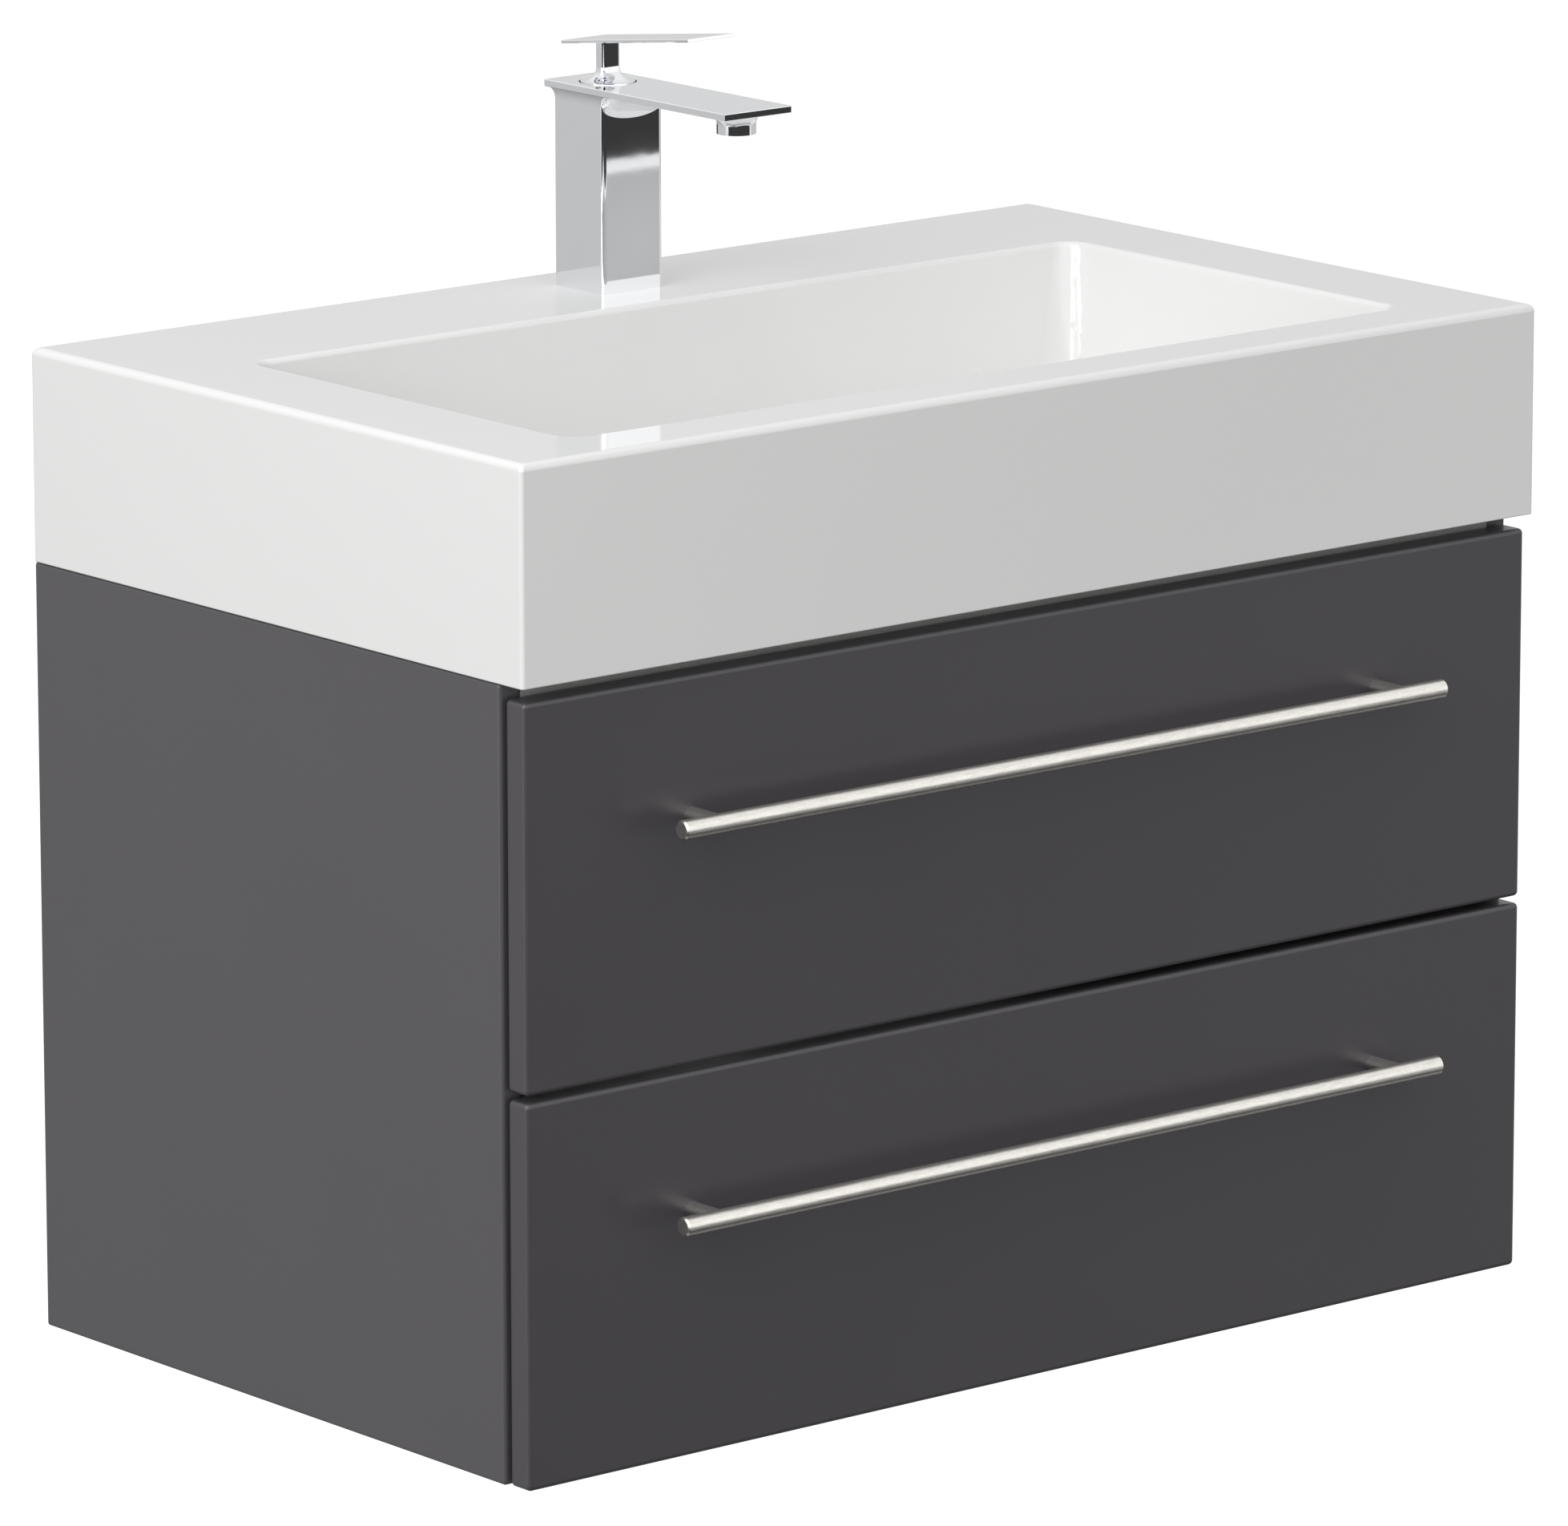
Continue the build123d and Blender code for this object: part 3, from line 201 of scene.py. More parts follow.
class EffectShelf:
    """Builds each shared effect once, as a node group, and hands it out."""

    brush_ratio: float = 3.7
    dust_facing: Stops = ((0.55, 0.0), (0.95, 1.0))
    dust_patch: Stops = ((0.4, 0.0), (0.7, 1.0))

    def __init__(self) -> None:
        """Starts with no groups made."""
        self.made: dict[Effect, bpy.types.NodeTree] = {}
        self.makers: dict[Effect, Callable[[Bench, bpy.types.Node, bpy.types.Node], None]] = {
            Effect.DRIFT: self.drift,
            Effect.LEVEL: self.level,
            Effect.PEEL: self.peel,
            Effect.BRUSH: self.brush,
            Effect.SPANGLE: self.spangle,
            Effect.THREAD: self.thread,
            Effect.PEBBLE: self.pebble,
            Effect.DUST: self.dust,
        }
        self.sockets: dict[Effect, tuple[tuple[str, ...], tuple[str, ...]]] = {
            Effect.DRIFT: (("Place:v", "Colour:c", "Scale:f", "Amount:f"), ("Colour:c",)),
            Effect.LEVEL: (("Place:v", "Scale:f", "Low:f", "High:f"), ("Level:f",)),
            Effect.PEEL: (("Place:v", "Scale:f"), ("Height:f",)),
            Effect.BRUSH: (("Place:v", "Scale:f"), ("Line:f",)),
            Effect.SPANGLE: (("Place:v", "Scale:f"), ("Flake:f",)),
            Effect.THREAD: (("Place:v", "Pitch:f"), ("Height:f",)),
            Effect.PEBBLE: (("Place:v", "Scale:f"), ("Height:f",)),
            Effect.DUST: (("Place:v", "Scale:f"), ("Mask:f",)),
        }

    def group(self, effect: Effect) -> bpy.types.NodeTree:
        """Hands out an effect's node group, made at the first call.

        Args:
            effect: which effect.

        Returns:
            Its node group.
        """
        if effect not in self.made:
            kinds = {"v": "NodeSocketVector", "c": "NodeSocketColor", "f": "NodeSocketFloat"}
            tree = bpy.data.node_groups.new(effect.value, "ShaderNodeTree")
            for direction, names in zip(("INPUT", "OUTPUT"), self.sockets[effect]):
                for name, kind in (entry.split(":") for entry in names):
                    tree.interface.new_socket(name, in_out=direction, socket_type=kinds[kind])
            bench = Bench(tree)
            self.makers[effect](bench, bench.add("NodeGroupInput"), bench.add("NodeGroupOutput"))
            self.made[effect] = tree
        return self.made[effect]

    def drift(self, bench: Bench, given: bpy.types.Node, result: bpy.types.Node) -> None:
        """A colour that wanders a little lighter and darker over the surface.

        Args:
            bench: the group's node tree.
            given: the group's inputs.
            result: the group's outputs.
        """
        wander = bench.noise(given.outputs["Place"], given.outputs["Scale"], detail=4.0)
        centred = bench.maths("SUBTRACT", wander, 0.5)
        factor = bench.maths("MULTIPLY_ADD", centred, given.outputs["Amount"], 1.0)
        scaled = bench.add("ShaderNodeVectorMath", operation="SCALE")
        bench.put(scaled, 0, given.outputs["Colour"])
        bench.put(scaled, "Scale", factor)
        bench.put(result, "Colour", scaled.outputs[0])

    def level(self, bench: Bench, given: bpy.types.Node, result: bpy.types.Node) -> None:
        """A gloss that wanders between two limits."""
        wander = bench.noise(given.outputs["Place"], given.outputs["Scale"], detail=5.0, rough=0.6)
        bench.put(result, "Level", bench.spread(wander, given.outputs["Low"], given.outputs["High"]))

    def peel(self, bench: Bench, given: bpy.types.Node, result: bpy.types.Node) -> None:
        """The fine ripple of sprayed lacquer."""
        ripple = bench.noise(given.outputs["Place"], given.outputs["Scale"], detail=1.0, rough=0.4)
        bench.put(result, "Height", ripple)

    def brush(self, bench: Bench, given: bpy.types.Node, result: bpy.types.Node) -> None:
        """Lines of a brushed metal, long where the place is squeezed.

        Args:
            bench: the group's node tree.
            given: the group's inputs.
            result: the group's outputs.
        """
        coarse = bench.noise(given.outputs["Place"], given.outputs["Scale"], detail=6.0, rough=0.7)
        finer = bench.maths("MULTIPLY", given.outputs["Scale"], self.brush_ratio)
        fine = bench.noise(given.outputs["Place"], finer, detail=4.0, rough=0.7)
        both = bench.maths("ADD", coarse, fine)
        bench.put(result, "Line", bench.maths("MULTIPLY", both, 0.5))

    def spangle(self, bench: Bench, given: bpy.types.Node, result: bpy.types.Node) -> None:
        """Crystal flakes of a zinc coat, each with its own tone.

        Args:
            bench: the group's node tree.
            given: the group's inputs.
            result: the group's outputs.
        """
        cells = bench.add("ShaderNodeTexVoronoi")
        bench.put(cells, "Vector", given.outputs["Place"])
        bench.put(cells, "Scale", given.outputs["Scale"])
        tone = bench.add("ShaderNodeSeparateColor")
        bench.put(tone, 0, cells.outputs["Color"])
        bench.put(result, "Flake", tone.outputs[0])

    def thread(self, bench: Bench, given: bpy.types.Node, result: bpy.types.Node) -> None:
        """A screw thread round the Z axis of the place that it is given.

        Args:
            bench: the group's node tree.
            given: the group's inputs.
            result: the group's outputs.
        """
        parts = bench.add("ShaderNodeSeparateXYZ")
        bench.put(parts, 0, given.outputs["Place"])
        angle = bench.maths("ARCTAN2", parts.outputs[1], parts.outputs[0])
        turn = bench.maths("DIVIDE", angle, 2.0 * math.pi)
        rise = bench.maths("DIVIDE", parts.outputs[2], given.outputs["Pitch"])
        bench.put(result, "Height", bench.maths("PINGPONG", bench.maths("ADD", rise, turn), 0.5))

    def pebble(self, bench: Bench, given: bpy.types.Node, result: bpy.types.Node) -> None:
        """The spark-eroded pebble of a moulded plastic.

        Args:
            bench: the group's node tree.
            given: the group's inputs.
            result: the group's outputs.
        """
        cells = bench.add("ShaderNodeTexVoronoi", feature="SMOOTH_F1")
        bench.put(cells, "Vector", given.outputs["Place"])
        bench.put(cells, "Scale", given.outputs["Scale"])
        bench.put(result, "Height", cells.outputs["Distance"])

    def dust(self, bench: Bench, given: bpy.types.Node, result: bpy.types.Node) -> None:
        """A mask of thin dust on faces that look up.

        Args:
            bench: the group's node tree.
            given: the group's inputs.
            result: the group's outputs.
        """
        shape = bench.add("ShaderNodeNewGeometry")
        parts = bench.add("ShaderNodeSeparateXYZ")
        bench.put(parts, 0, shape.outputs["Normal"])
        facing = bench.ramp(parts.outputs[2], self.dust_facing)
        wander = bench.noise(given.outputs["Place"], given.outputs["Scale"], detail=6.0)
        patch = bench.ramp(wander, self.dust_patch)
        bench.put(result, "Mask", bench.maths("MULTIPLY", facing, patch))


SHELF = EffectShelf()


class Palette:
    """A material in the making: a Principled shader with Object coordinates beside it."""

    def __init__(self, name: str) -> None:
        """Makes the material.

        Args:
            name: its name, after the finish.
        """
        self.material = bpy.data.materials.new(name)
        self.material.use_nodes = True
        self.bench = Bench(self.material.node_tree)
        self.shader = self.material.node_tree.nodes["Principled BSDF"]
        self.place = self.bench.add("ShaderNodeTexCoord").outputs["Object"]

    def mapped(self, scale: Triple = (1.0, 1.0, 1.0), shift: Triple = (0.0, 0.0, 0.0)) -> Socket:
        """Object coordinates, squeezed along the axes.

        Args:
            scale: how much finer the pattern is along each axis.
            shift: what is added afterwards.

        Returns:
            The mapped place.
        """
        node = self.bench.add("ShaderNodeMapping")
        self.bench.put(node, "Vector", self.place)
        self.bench.put(node, "Scale", scale)
        self.bench.put(node, "Location", shift)
        return node.outputs[0]

    def effect(self, effect: Effect, **values: Value) -> Socket:
        """Places a shared effect.

        Args:
            effect: which effect.
            values: its inputs, by name.

        Returns:
            Its output.
        """
        node = self.bench.add("ShaderNodeGroup")
        node.node_tree = SHELF.group(effect)
        if "Place" not in values:
            self.bench.put(node, "Place", self.place)
        for name, value in values.items():
            self.bench.put(node, name, value)
        return node.outputs[0]

    def bump(self, height: Socket, strength: float, distance: float, under: Union[Socket, None] = None) -> Socket:
        """Turns a height into a normal.

        Args:
            height: the height, from 0 to 1.
            strength: how much of it shows.
            distance: its depth in metres.
            under: a normal that it lies on.

        Returns:
            The normal.
        """
        node = self.bench.add("ShaderNodeBump")
        self.bench.put(node, "Height", height)
        self.bench.put(node, "Strength", strength)
        self.bench.put(node, "Distance", distance)
        if under is not None:
            self.bench.put(node, "Normal", under)
        return node.outputs[0]

    def shade(self, **values: Value) -> bpy.types.Material:
        """Sets the shader's sockets and hands out the material.

        Args:
            values: socket values, with an underscore for each space in a socket's name.

        Returns:
            The material.
        """
        for name, value in values.items():
            self.bench.put(self.shader, name.replace("_", " "), value)
        return self.material


def paint(red: float, green: float, blue: float) -> tuple[float, float, float, float]:
    """A colour as the shader takes it.

    Args:
        red: share of red, in linear light.
        green: share of green.
        blue: share of blue.

    Returns:
        The colour with full cover.
    """
    return (red, green, blue, 1.0)


def grey(level: float) -> tuple[float, float, float, float]:
    """A grey as the shader takes it.

    Args:
        level: its brightness, in linear light.

    Returns:
        The colour with full cover.
    """
    return paint(level, level, level)


@dataclass(frozen=True)
class SatinLacquer:
    """Sprayed satin lacquer on a board."""

    name: str
    colour: Triple
    gloss: Pair = (0.34, 0.42)
    gloss_cloud: float = 14.0
    cloud: float = 9.0
    unevenness: float = 0.08
    peel: float = 900.0
    peel_show: float = 0.12
    peel_depth: float = 0.0002
    coat: float = 0.3
    coat_rough: float = 0.24

    def material(self) -> bpy.types.Material:
        """Makes the lacquer: a calm tone, a fine peel and a gloss that wanders a little.

        Returns:
            The material.
        """
        mix = Palette(self.name)
        tone = mix.effect(Effect.DRIFT, Colour=paint(*self.colour), Scale=self.cloud, Amount=self.unevenness)
        level = mix.effect(Effect.LEVEL, Scale=self.gloss_cloud, Low=self.gloss[0], High=self.gloss[1])
        peel = mix.effect(Effect.PEEL, Scale=self.peel)
        return mix.shade(Base_Color=tone, Roughness=level, Coat_Weight=self.coat, Coat_Roughness=self.coat_rough,
                         Normal=mix.bump(peel, self.peel_show, self.peel_depth))


@dataclass(frozen=True)
class Laminate:
    """Melamine-faced board with a fine printed grain."""

    name: str
    colour: Triple
    along: Triple = (1.0, 14.0, 14.0)
    fibre: float = 42.0
    fibre_stops: Stops = ((0.42, 0.0), (0.62, 0.8))
    fibre_dark: float = 0.82
    fibre_show: float = 0.1
    fibre_depth: float = 0.0003
    cloud: float = 6.0
    unevenness: float = 0.12
    dust: float = 18.0
    dust_cover: float = 0.12
    dust_colour: Triple = (0.5, 0.49, 0.47)
    gloss: Pair = (0.5, 0.64)
    gloss_cloud: float = 30.0

    def material(self) -> bpy.types.Material:
        """Makes the board: faint long fibres in tone and relief, with thin dust on top.

        Returns:
            The material.
        """
        mix = Palette(self.name)
        fibre = mix.effect(Effect.BRUSH, Place=mix.mapped(self.along), Scale=self.fibre)
        tone = mix.effect(Effect.DRIFT, Colour=paint(*self.colour), Scale=self.cloud, Amount=self.unevenness)
        darker = paint(*(self.fibre_dark * share for share in self.colour))
        grained = mix.bench.tint(mix.bench.ramp(fibre, self.fibre_stops), tone, darker)
        dust = mix.effect(Effect.DUST, Scale=self.dust)
        film = mix.bench.maths("MULTIPLY", dust, self.dust_cover)
        dusty = mix.bench.tint(film, grained, paint(*self.dust_colour))
        level = mix.effect(Effect.LEVEL, Scale=self.gloss_cloud, Low=self.gloss[0], High=self.gloss[1])
        return mix.shade(Base_Color=dusty, Roughness=level,
                         Normal=mix.bump(fibre, self.fibre_show, self.fibre_depth))


@dataclass(frozen=True)
class Beech:
    """Turned hardwood."""

    name: str
    colour: Triple
    along: Triple = (1.0, 22.0, 22.0)
    fibre: float = 60.0
    fibre_dark: float = 0.6
    fibre_show: float = 0.2
    fibre_depth: float = 0.0004
    fleck: Triple = (60.0, 900.0, 900.0)
    fleck_detail: float = 2.0
    fleck_stops: Stops = ((0.6, 0.0), (0.72, 1.0))
    fleck_cover: float = 0.5
    gloss: Pair = (0.55, 0.75)
    gloss_cloud: float = 60.0

    def material(self) -> bpy.types.Material:
        """Makes the wood: fibres and short flecks along the dowel.

        Returns:
            The material.
        """
        mix = Palette(self.name)
        fibre = mix.effect(Effect.BRUSH, Place=mix.mapped(self.along), Scale=self.fibre)
        grain = mix.bench.noise(mix.mapped(self.fleck), 1.0, self.fleck_detail)
        fleck = mix.bench.ramp(grain, self.fleck_stops)
        darker = paint(*(self.fibre_dark * share for share in self.colour))
        tone = mix.bench.tint(fibre, paint(*self.colour), darker)
        flecked = mix.bench.tint(mix.bench.maths("MULTIPLY", fleck, self.fleck_cover), tone, darker)
        level = mix.effect(Effect.LEVEL, Scale=self.gloss_cloud, Low=self.gloss[0], High=self.gloss[1])
        return mix.shade(Base_Color=flecked, Roughness=level,
                         Normal=mix.bump(fibre, self.fibre_show, self.fibre_depth))


@dataclass(frozen=True)
class Glaze:
    """White sanitary glaze."""

    name: str
    colour: Triple
    cloud: float = 5.0
    unevenness: float = 0.02
    gloss: Pair = (0.05, 0.09)
    gloss_cloud: float = 11.0
    wave: float = 9.0
    wave_show: float = 0.05
    wave_depth: float = 0.002
    skin: float = 260.0
    skin_show: float = 0.03
    skin_depth: float = 0.0002
    coat: float = 0.4
    coat_rough: float = 0.03

    def material(self) -> bpy.types.Material:
        """Makes the glaze: near white, with the slow waviness and fine orange skin of fired glass.

        Returns:
            The material.
        """
        mix = Palette(self.name)
        tone = mix.effect(Effect.DRIFT, Colour=paint(*self.colour), Scale=self.cloud, Amount=self.unevenness)
        level = mix.effect(Effect.LEVEL, Scale=self.gloss_cloud, Low=self.gloss[0], High=self.gloss[1])
        slow = mix.bump(mix.bench.noise(mix.place, self.wave, detail=1.0), self.wave_show, self.wave_depth)
        skin = mix.bump(mix.effect(Effect.PEEL, Scale=self.skin), self.skin_show, self.skin_depth, slow)
        return mix.shade(Base_Color=tone, Roughness=level, Coat_Weight=self.coat, Coat_Roughness=self.coat_rough,
                         Normal=skin)


@dataclass(frozen=True)
class Chrome:
    """Polished or turned metal, such as chrome plate."""

    name: str
    colour: Triple
    gloss: Pair = (0.03, 0.07)
    gloss_cloud: float = 55.0
    cloud: float = 40.0
    unevenness: float = 0.03
    wave: float = 70.0
    wave_show: float = 0.03
    wave_depth: float = 0.0004

    def material(self) -> bpy.types.Material:
        """Makes the plate: bright, with a faint haze and the softest polishing waves.

        Returns:
            The material.
        """
        mix = Palette(self.name)
        tone = mix.effect(Effect.DRIFT, Colour=paint(*self.colour), Scale=self.cloud, Amount=self.unevenness)
        level = mix.effect(Effect.LEVEL, Scale=self.gloss_cloud, Low=self.gloss[0], High=self.gloss[1])
        wave = mix.bump(mix.bench.noise(mix.place, self.wave, detail=1.0), self.wave_show, self.wave_depth)
        return mix.shade(Base_Color=tone, Metallic=1.0, Roughness=level, Normal=wave)


@dataclass(frozen=True)
class ThreadedMetal:
    """Metal with a cut thread on a length of it, upright about a given axis."""

    name: str
    colour: Triple
    axis: Pair
    reach: Pair
    pitch: float
    gloss: Pair
    gloss_cloud: float = 70.0
    cloud: float = 50.0
    unevenness: float = 0.08
    thread_show: float = 0.8
    depth_per_pitch: float = 0.6

    def material(self) -> bpy.types.Material:
        """Makes the metal, with the thread as relief between the two heights of its reach.

        Returns:
            The material.
        """
        mix = Palette(self.name)
        about = mix.mapped(shift=(-self.axis[0], -self.axis[1], 0.0))
        thread = mix.effect(Effect.THREAD, Place=about, Pitch=self.pitch)
        parts = mix.bench.add("ShaderNodeSeparateXYZ")
        mix.bench.put(parts, 0, mix.place)
        above = mix.bench.maths("GREATER_THAN", parts.outputs[2], self.reach[0])
        below = mix.bench.maths("LESS_THAN", parts.outputs[2], self.reach[1])
        height = mix.bench.maths("MULTIPLY", mix.bench.maths("MULTIPLY", thread, above), below)
        tone = mix.effect(Effect.DRIFT, Colour=paint(*self.colour), Scale=self.cloud, Amount=self.unevenness)
        level = mix.effect(Effect.LEVEL, Scale=self.gloss_cloud, Low=self.gloss[0], High=self.gloss[1])
        normal = mix.bump(height, self.thread_show, self.depth_per_pitch * self.pitch)
        return mix.shade(Base_Color=tone, Metallic=1.0, Roughness=level, Normal=normal)


@dataclass(frozen=True)
class BrushedSteel:
    """Stainless steel brushed along the X axis."""

    name: str
    colour: Triple
    shadow: Triple
    along: Triple = (0.12, 1.0, 1.0)
    line: float = 900.0
    line_stops: Stops = ((0.35, 0.0), (0.65, 1.0))
    line_show: float = 0.25
    line_depth: float = 0.0002
    gloss: Pair = (0.24, 0.4)

    def material(self) -> bpy.types.Material:
        """Makes the steel: long fine lines in tone, gloss and relief.

        Returns:
            The material.
        """
        mix = Palette(self.name)
        line = mix.effect(Effect.BRUSH, Place=mix.mapped(self.along), Scale=self.line)
        bright = mix.bench.ramp(line, self.line_stops)
        tone = mix.bench.tint(bright, paint(*self.shadow), paint(*self.colour))
        return mix.shade(Base_Color=tone, Metallic=1.0, Roughness=mix.bench.spread(line, *self.gloss),
                         Normal=mix.bump(line, self.line_show, self.line_depth))


@dataclass(frozen=True)
class PlatedSteel:
    """Pressed steel with a zinc coat."""

    name: str
    colour: Triple
    flake: float = 420.0
    flake_dark: float = 0.72
    along: Triple = (8.0, 1.0, 8.0)
    line: float = 60.0
    line_show: float = 0.12
    line_depth: float = 0.0002
    dust: float = 40.0
    dust_cover: float = 0.18
    dust_colour: Triple = (0.36, 0.35, 0.33)
    gloss: Pair = (0.28, 0.5)
    metal: float = 0.92

    def material(self) -> bpy.types.Material:
        """Makes the coat: small flakes, rolling lines and a thin film of dust.

        Returns:
            The material.
        """
        mix = Palette(self.name)
        flake = mix.effect(Effect.SPANGLE, Scale=self.flake)
        line = mix.effect(Effect.BRUSH, Place=mix.mapped(self.along), Scale=self.line)
        darker = paint(*(self.flake_dark * share for share in self.colour))
        tone = mix.bench.tint(flake, paint(*self.colour), darker)
        film = mix.bench.maths("MULTIPLY", mix.effect(Effect.DUST, Scale=self.dust), self.dust_cover)
        dusty = mix.bench.tint(film, tone, paint(*self.dust_colour))
        return mix.shade(Base_Color=dusty, Metallic=self.metal, Roughness=mix.bench.spread(line, *self.gloss),
                         Normal=mix.bump(line, self.line_show, self.line_depth))


@dataclass(frozen=True)
class MouldedPlastic:
    """Injection-moulded plastic with a pebbled face."""

    name: str
    colour: Triple
    pebble: float = 1600.0
    gloss: Pair = (0.4, 0.55)
    gloss_cloud: float = 90.0
    cloud: float = 35.0
    unevenness: float = 0.1
    pebble_show: float = 0.25
    pebble_depth: float = 0.0003

    def material(self) -> bpy.types.Material:
        """Makes the plastic: pebbled relief, a slow tone and a gloss that wanders.

        Returns:
            The material.
        """
        mix = Palette(self.name)
        tone = mix.effect(Effect.DRIFT, Colour=paint(*self.colour), Scale=self.cloud, Amount=self.unevenness)
        level = mix.effect(Effect.LEVEL, Scale=self.gloss_cloud, Low=self.gloss[0], High=self.gloss[1])
        pebble = mix.effect(Effect.PEBBLE, Scale=self.pebble)
        return mix.shade(Base_Color=tone, Roughness=level,
                         Normal=mix.bump(pebble, self.pebble_show, self.pebble_depth))


@dataclass(frozen=True)
class Rubber:
    """Soft sealing rubber."""

    name: str
    colour: Triple
    cloud: float = 60.0
    unevenness: float = 0.25
    bloom: float = 150.0
    bloom_detail: float = 5.0
    bloom_stops: Stops = ((0.5, 0.0), (0.75, 0.25))
    bloom_gain: float = 2.2
    bloom_lift: float = 0.02
    gloss: Pair = (0.6, 0.82)
    gloss_cloud: float = 120.0
    grain: float = 2600.0
    grain_show: float = 0.2
    grain_depth: float = 0.0002

    def material(self) -> bpy.types.Material:
        """Makes the rubber: matt, with a pale bloom in patches.

        Returns:
            The material.
        """
        mix = Palette(self.name)
        tone = mix.effect(Effect.DRIFT, Colour=paint(*self.colour), Scale=self.cloud, Amount=self.unevenness)
        bloom = mix.bench.ramp(mix.bench.noise(mix.place, self.bloom, self.bloom_detail), self.bloom_stops)
        pale = paint(*(min(1.0, self.bloom_gain * share + self.bloom_lift) for share in self.colour))
        level = mix.effect(Effect.LEVEL, Scale=self.gloss_cloud, Low=self.gloss[0], High=self.gloss[1])
        grain = mix.bump(mix.effect(Effect.PEBBLE, Scale=self.grain), self.grain_show, self.grain_depth)
        return mix.shade(Base_Color=mix.bench.tint(bloom, tone, pale), Roughness=level, Normal=grain)


Finish = Union[SatinLacquer, Laminate, Beech, Glaze, Chrome, ThreadedMetal, BrushedSteel, PlatedSteel,
               MouldedPlastic, Rubber]


class Workshop:
    """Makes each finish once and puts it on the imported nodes."""

    def __init__(self) -> None:
        """Starts with no finish made."""
        self.made: dict[str, bpy.types.Material] = {}

    def finish(self, finish: Finish) -> bpy.types.Material:
        """Hands out a finish's material, made at the first call.

        Args:
            finish: which finish.

        Returns:
            Its material.
        """
        if finish.name not in self.made:
            self.made[finish.name] = finish.material()
        return self.made[finish.name]

    def dress(self, finish: Finish, *names: str) -> None:
        """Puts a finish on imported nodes.

        Args:
            finish: which finish.
            names: the nodes' names.
        """
        for name in names:
            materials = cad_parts[name].data.materials
            materials.clear()
            materials.append(self.finish(finish))
            LOG.info("%s dressed in %s", name, finish.name)


FRONT_LACQUER = SatinLacquer("front_lacquer", (0.058, 0.0535, 0.0605))
# lighter copy of the front lacquer for the side panels: the extra brightness is painted light standing in for the
# stronger light from the left
SIDE_LACQUER_PAINTED_LIT = SatinLacquer("side_lacquer", (0.0775, 0.0732, 0.08))
CARCASS_BOARD = Laminate("carcass_board", (0.22, 0.215, 0.21))
# paler copy of the carcass board for the front rail: the extra brightness is painted light that cancels the shade
# under the basin's front edge
RAIL_BOARD_PAINTED_LIT = Laminate("rail_board_painted_lit", (0.52, 0.51, 0.5))
DRAWER_BOARD = Laminate("drawer_board", (0.27, 0.265, 0.26), along=(14.0, 1.0, 14.0))
DOWEL_WOOD = Beech("dowel_beech", (0.56, 0.38, 0.2))
BASIN_GLAZE = Glaze("basin_glaze", (0.87, 0.87, 0.865))
TAP_CHROME = Chrome("tap_chrome", (0.86, 0.87, 0.89))
WASTE_CHROME = ThreadedMetal("waste_chrome", (0.82, 0.83, 0.85), axis=(0.0, -0.235), reach=(0.0, 0.0415),
                             pitch=0.0023, gloss=(0.06, 0.12))
HANDLE_STEEL = BrushedSteel("handle_steel", (0.98, 0.955, 0.91), shadow=(0.66, 0.635, 0.595))
RUNNER_STEEL = PlatedSteel("runner_zinc", (0.55, 0.56, 0.58))
FASTENER_STEEL = PlatedSteel("fastener_zinc", (0.6, 0.6, 0.58), flake=900.0)
FITTING_PLASTIC = MouldedPlastic("fitting_plastic", (0.6, 0.6, 0.59))
GLIDE_PLASTIC = MouldedPlastic("glide_plastic", (0.74, 0.74, 0.7), pebble=900.0, gloss=(0.3, 0.42))
GUARD_PLASTIC = MouldedPlastic("guard_plastic", (0.21, 0.21, 0.212), pebble=1200.0)
SEAL_RUBBER = Rubber("seal_rubber", (0.025, 0.025, 0.026))
BUMPER_RUBBER = Rubber("bumper_rubber", (0.035, 0.035, 0.036))
TAP_BRASS = Chrome("turned_brass", (0.74, 0.55, 0.27), gloss=(0.2, 0.34))
STUD_BRASS = ThreadedMetal("threaded_brass", (0.74, 0.55, 0.27), axis=(0.0, -0.053), reach=(0.13, 0.178),
                           pitch=0.00125, gloss=(0.24, 0.36))


@dataclass
class Carcass:
    """Side panels, bottom panel and rails, with their dowels and cam fittings."""

    boards: tuple[str, ...] = ("bottom_panel", "rear_rail_top", "rear_rail_bottom")
    panels: tuple[str, ...] = ("side_panel_left", "side_panel_right")

    def build(self, shop: Workshop) -> None:
        """Dresses the boards and the fittings between them.

        Args:
            shop: the workshop that holds the finishes.
        """
        # side panels wear the lacquer copy with painted light, lighter than the fronts
        shop.dress(SIDE_LACQUER_PAINTED_LIT, *self.panels)
        shop.dress(CARCASS_BOARD, *self.boards)
        # front rail wears the board copy with painted light, paler than the other carcass boards
        shop.dress(RAIL_BOARD_PAINTED_LIT, "front_rail")
        shop.dress(DOWEL_WOOD, "dowels")
        shop.dress(FASTENER_STEEL, "cam_bolts", "cam_discs")


@dataclass
class Hanging:
    """Hangers in the carcass and the plates on the wall."""

    def build(self, shop: Workshop) -> None:
        """Dresses the hangers, their hooks and the plates."""
        shop.dress(FITTING_PLASTIC, "hangers")
        shop.dress(FASTENER_STEEL, "hanger_hooks", "wall_plates")


@dataclass
class Basin:
    """Ceramic basin and its waste."""

    def build(self, shop: Workshop) -> None:
        """Dresses the glaze, the waste and its seals.

        Args:
            shop: the workshop that holds the finishes.
        """
        shop.dress(BASIN_GLAZE, "basin")
        shop.dress(WASTE_CHROME, "waste_body")
        shop.dress(SEAL_RUBBER, "waste_seal", "waste_lower_seal")
        shop.dress(FITTING_PLASTIC, "waste_nut")


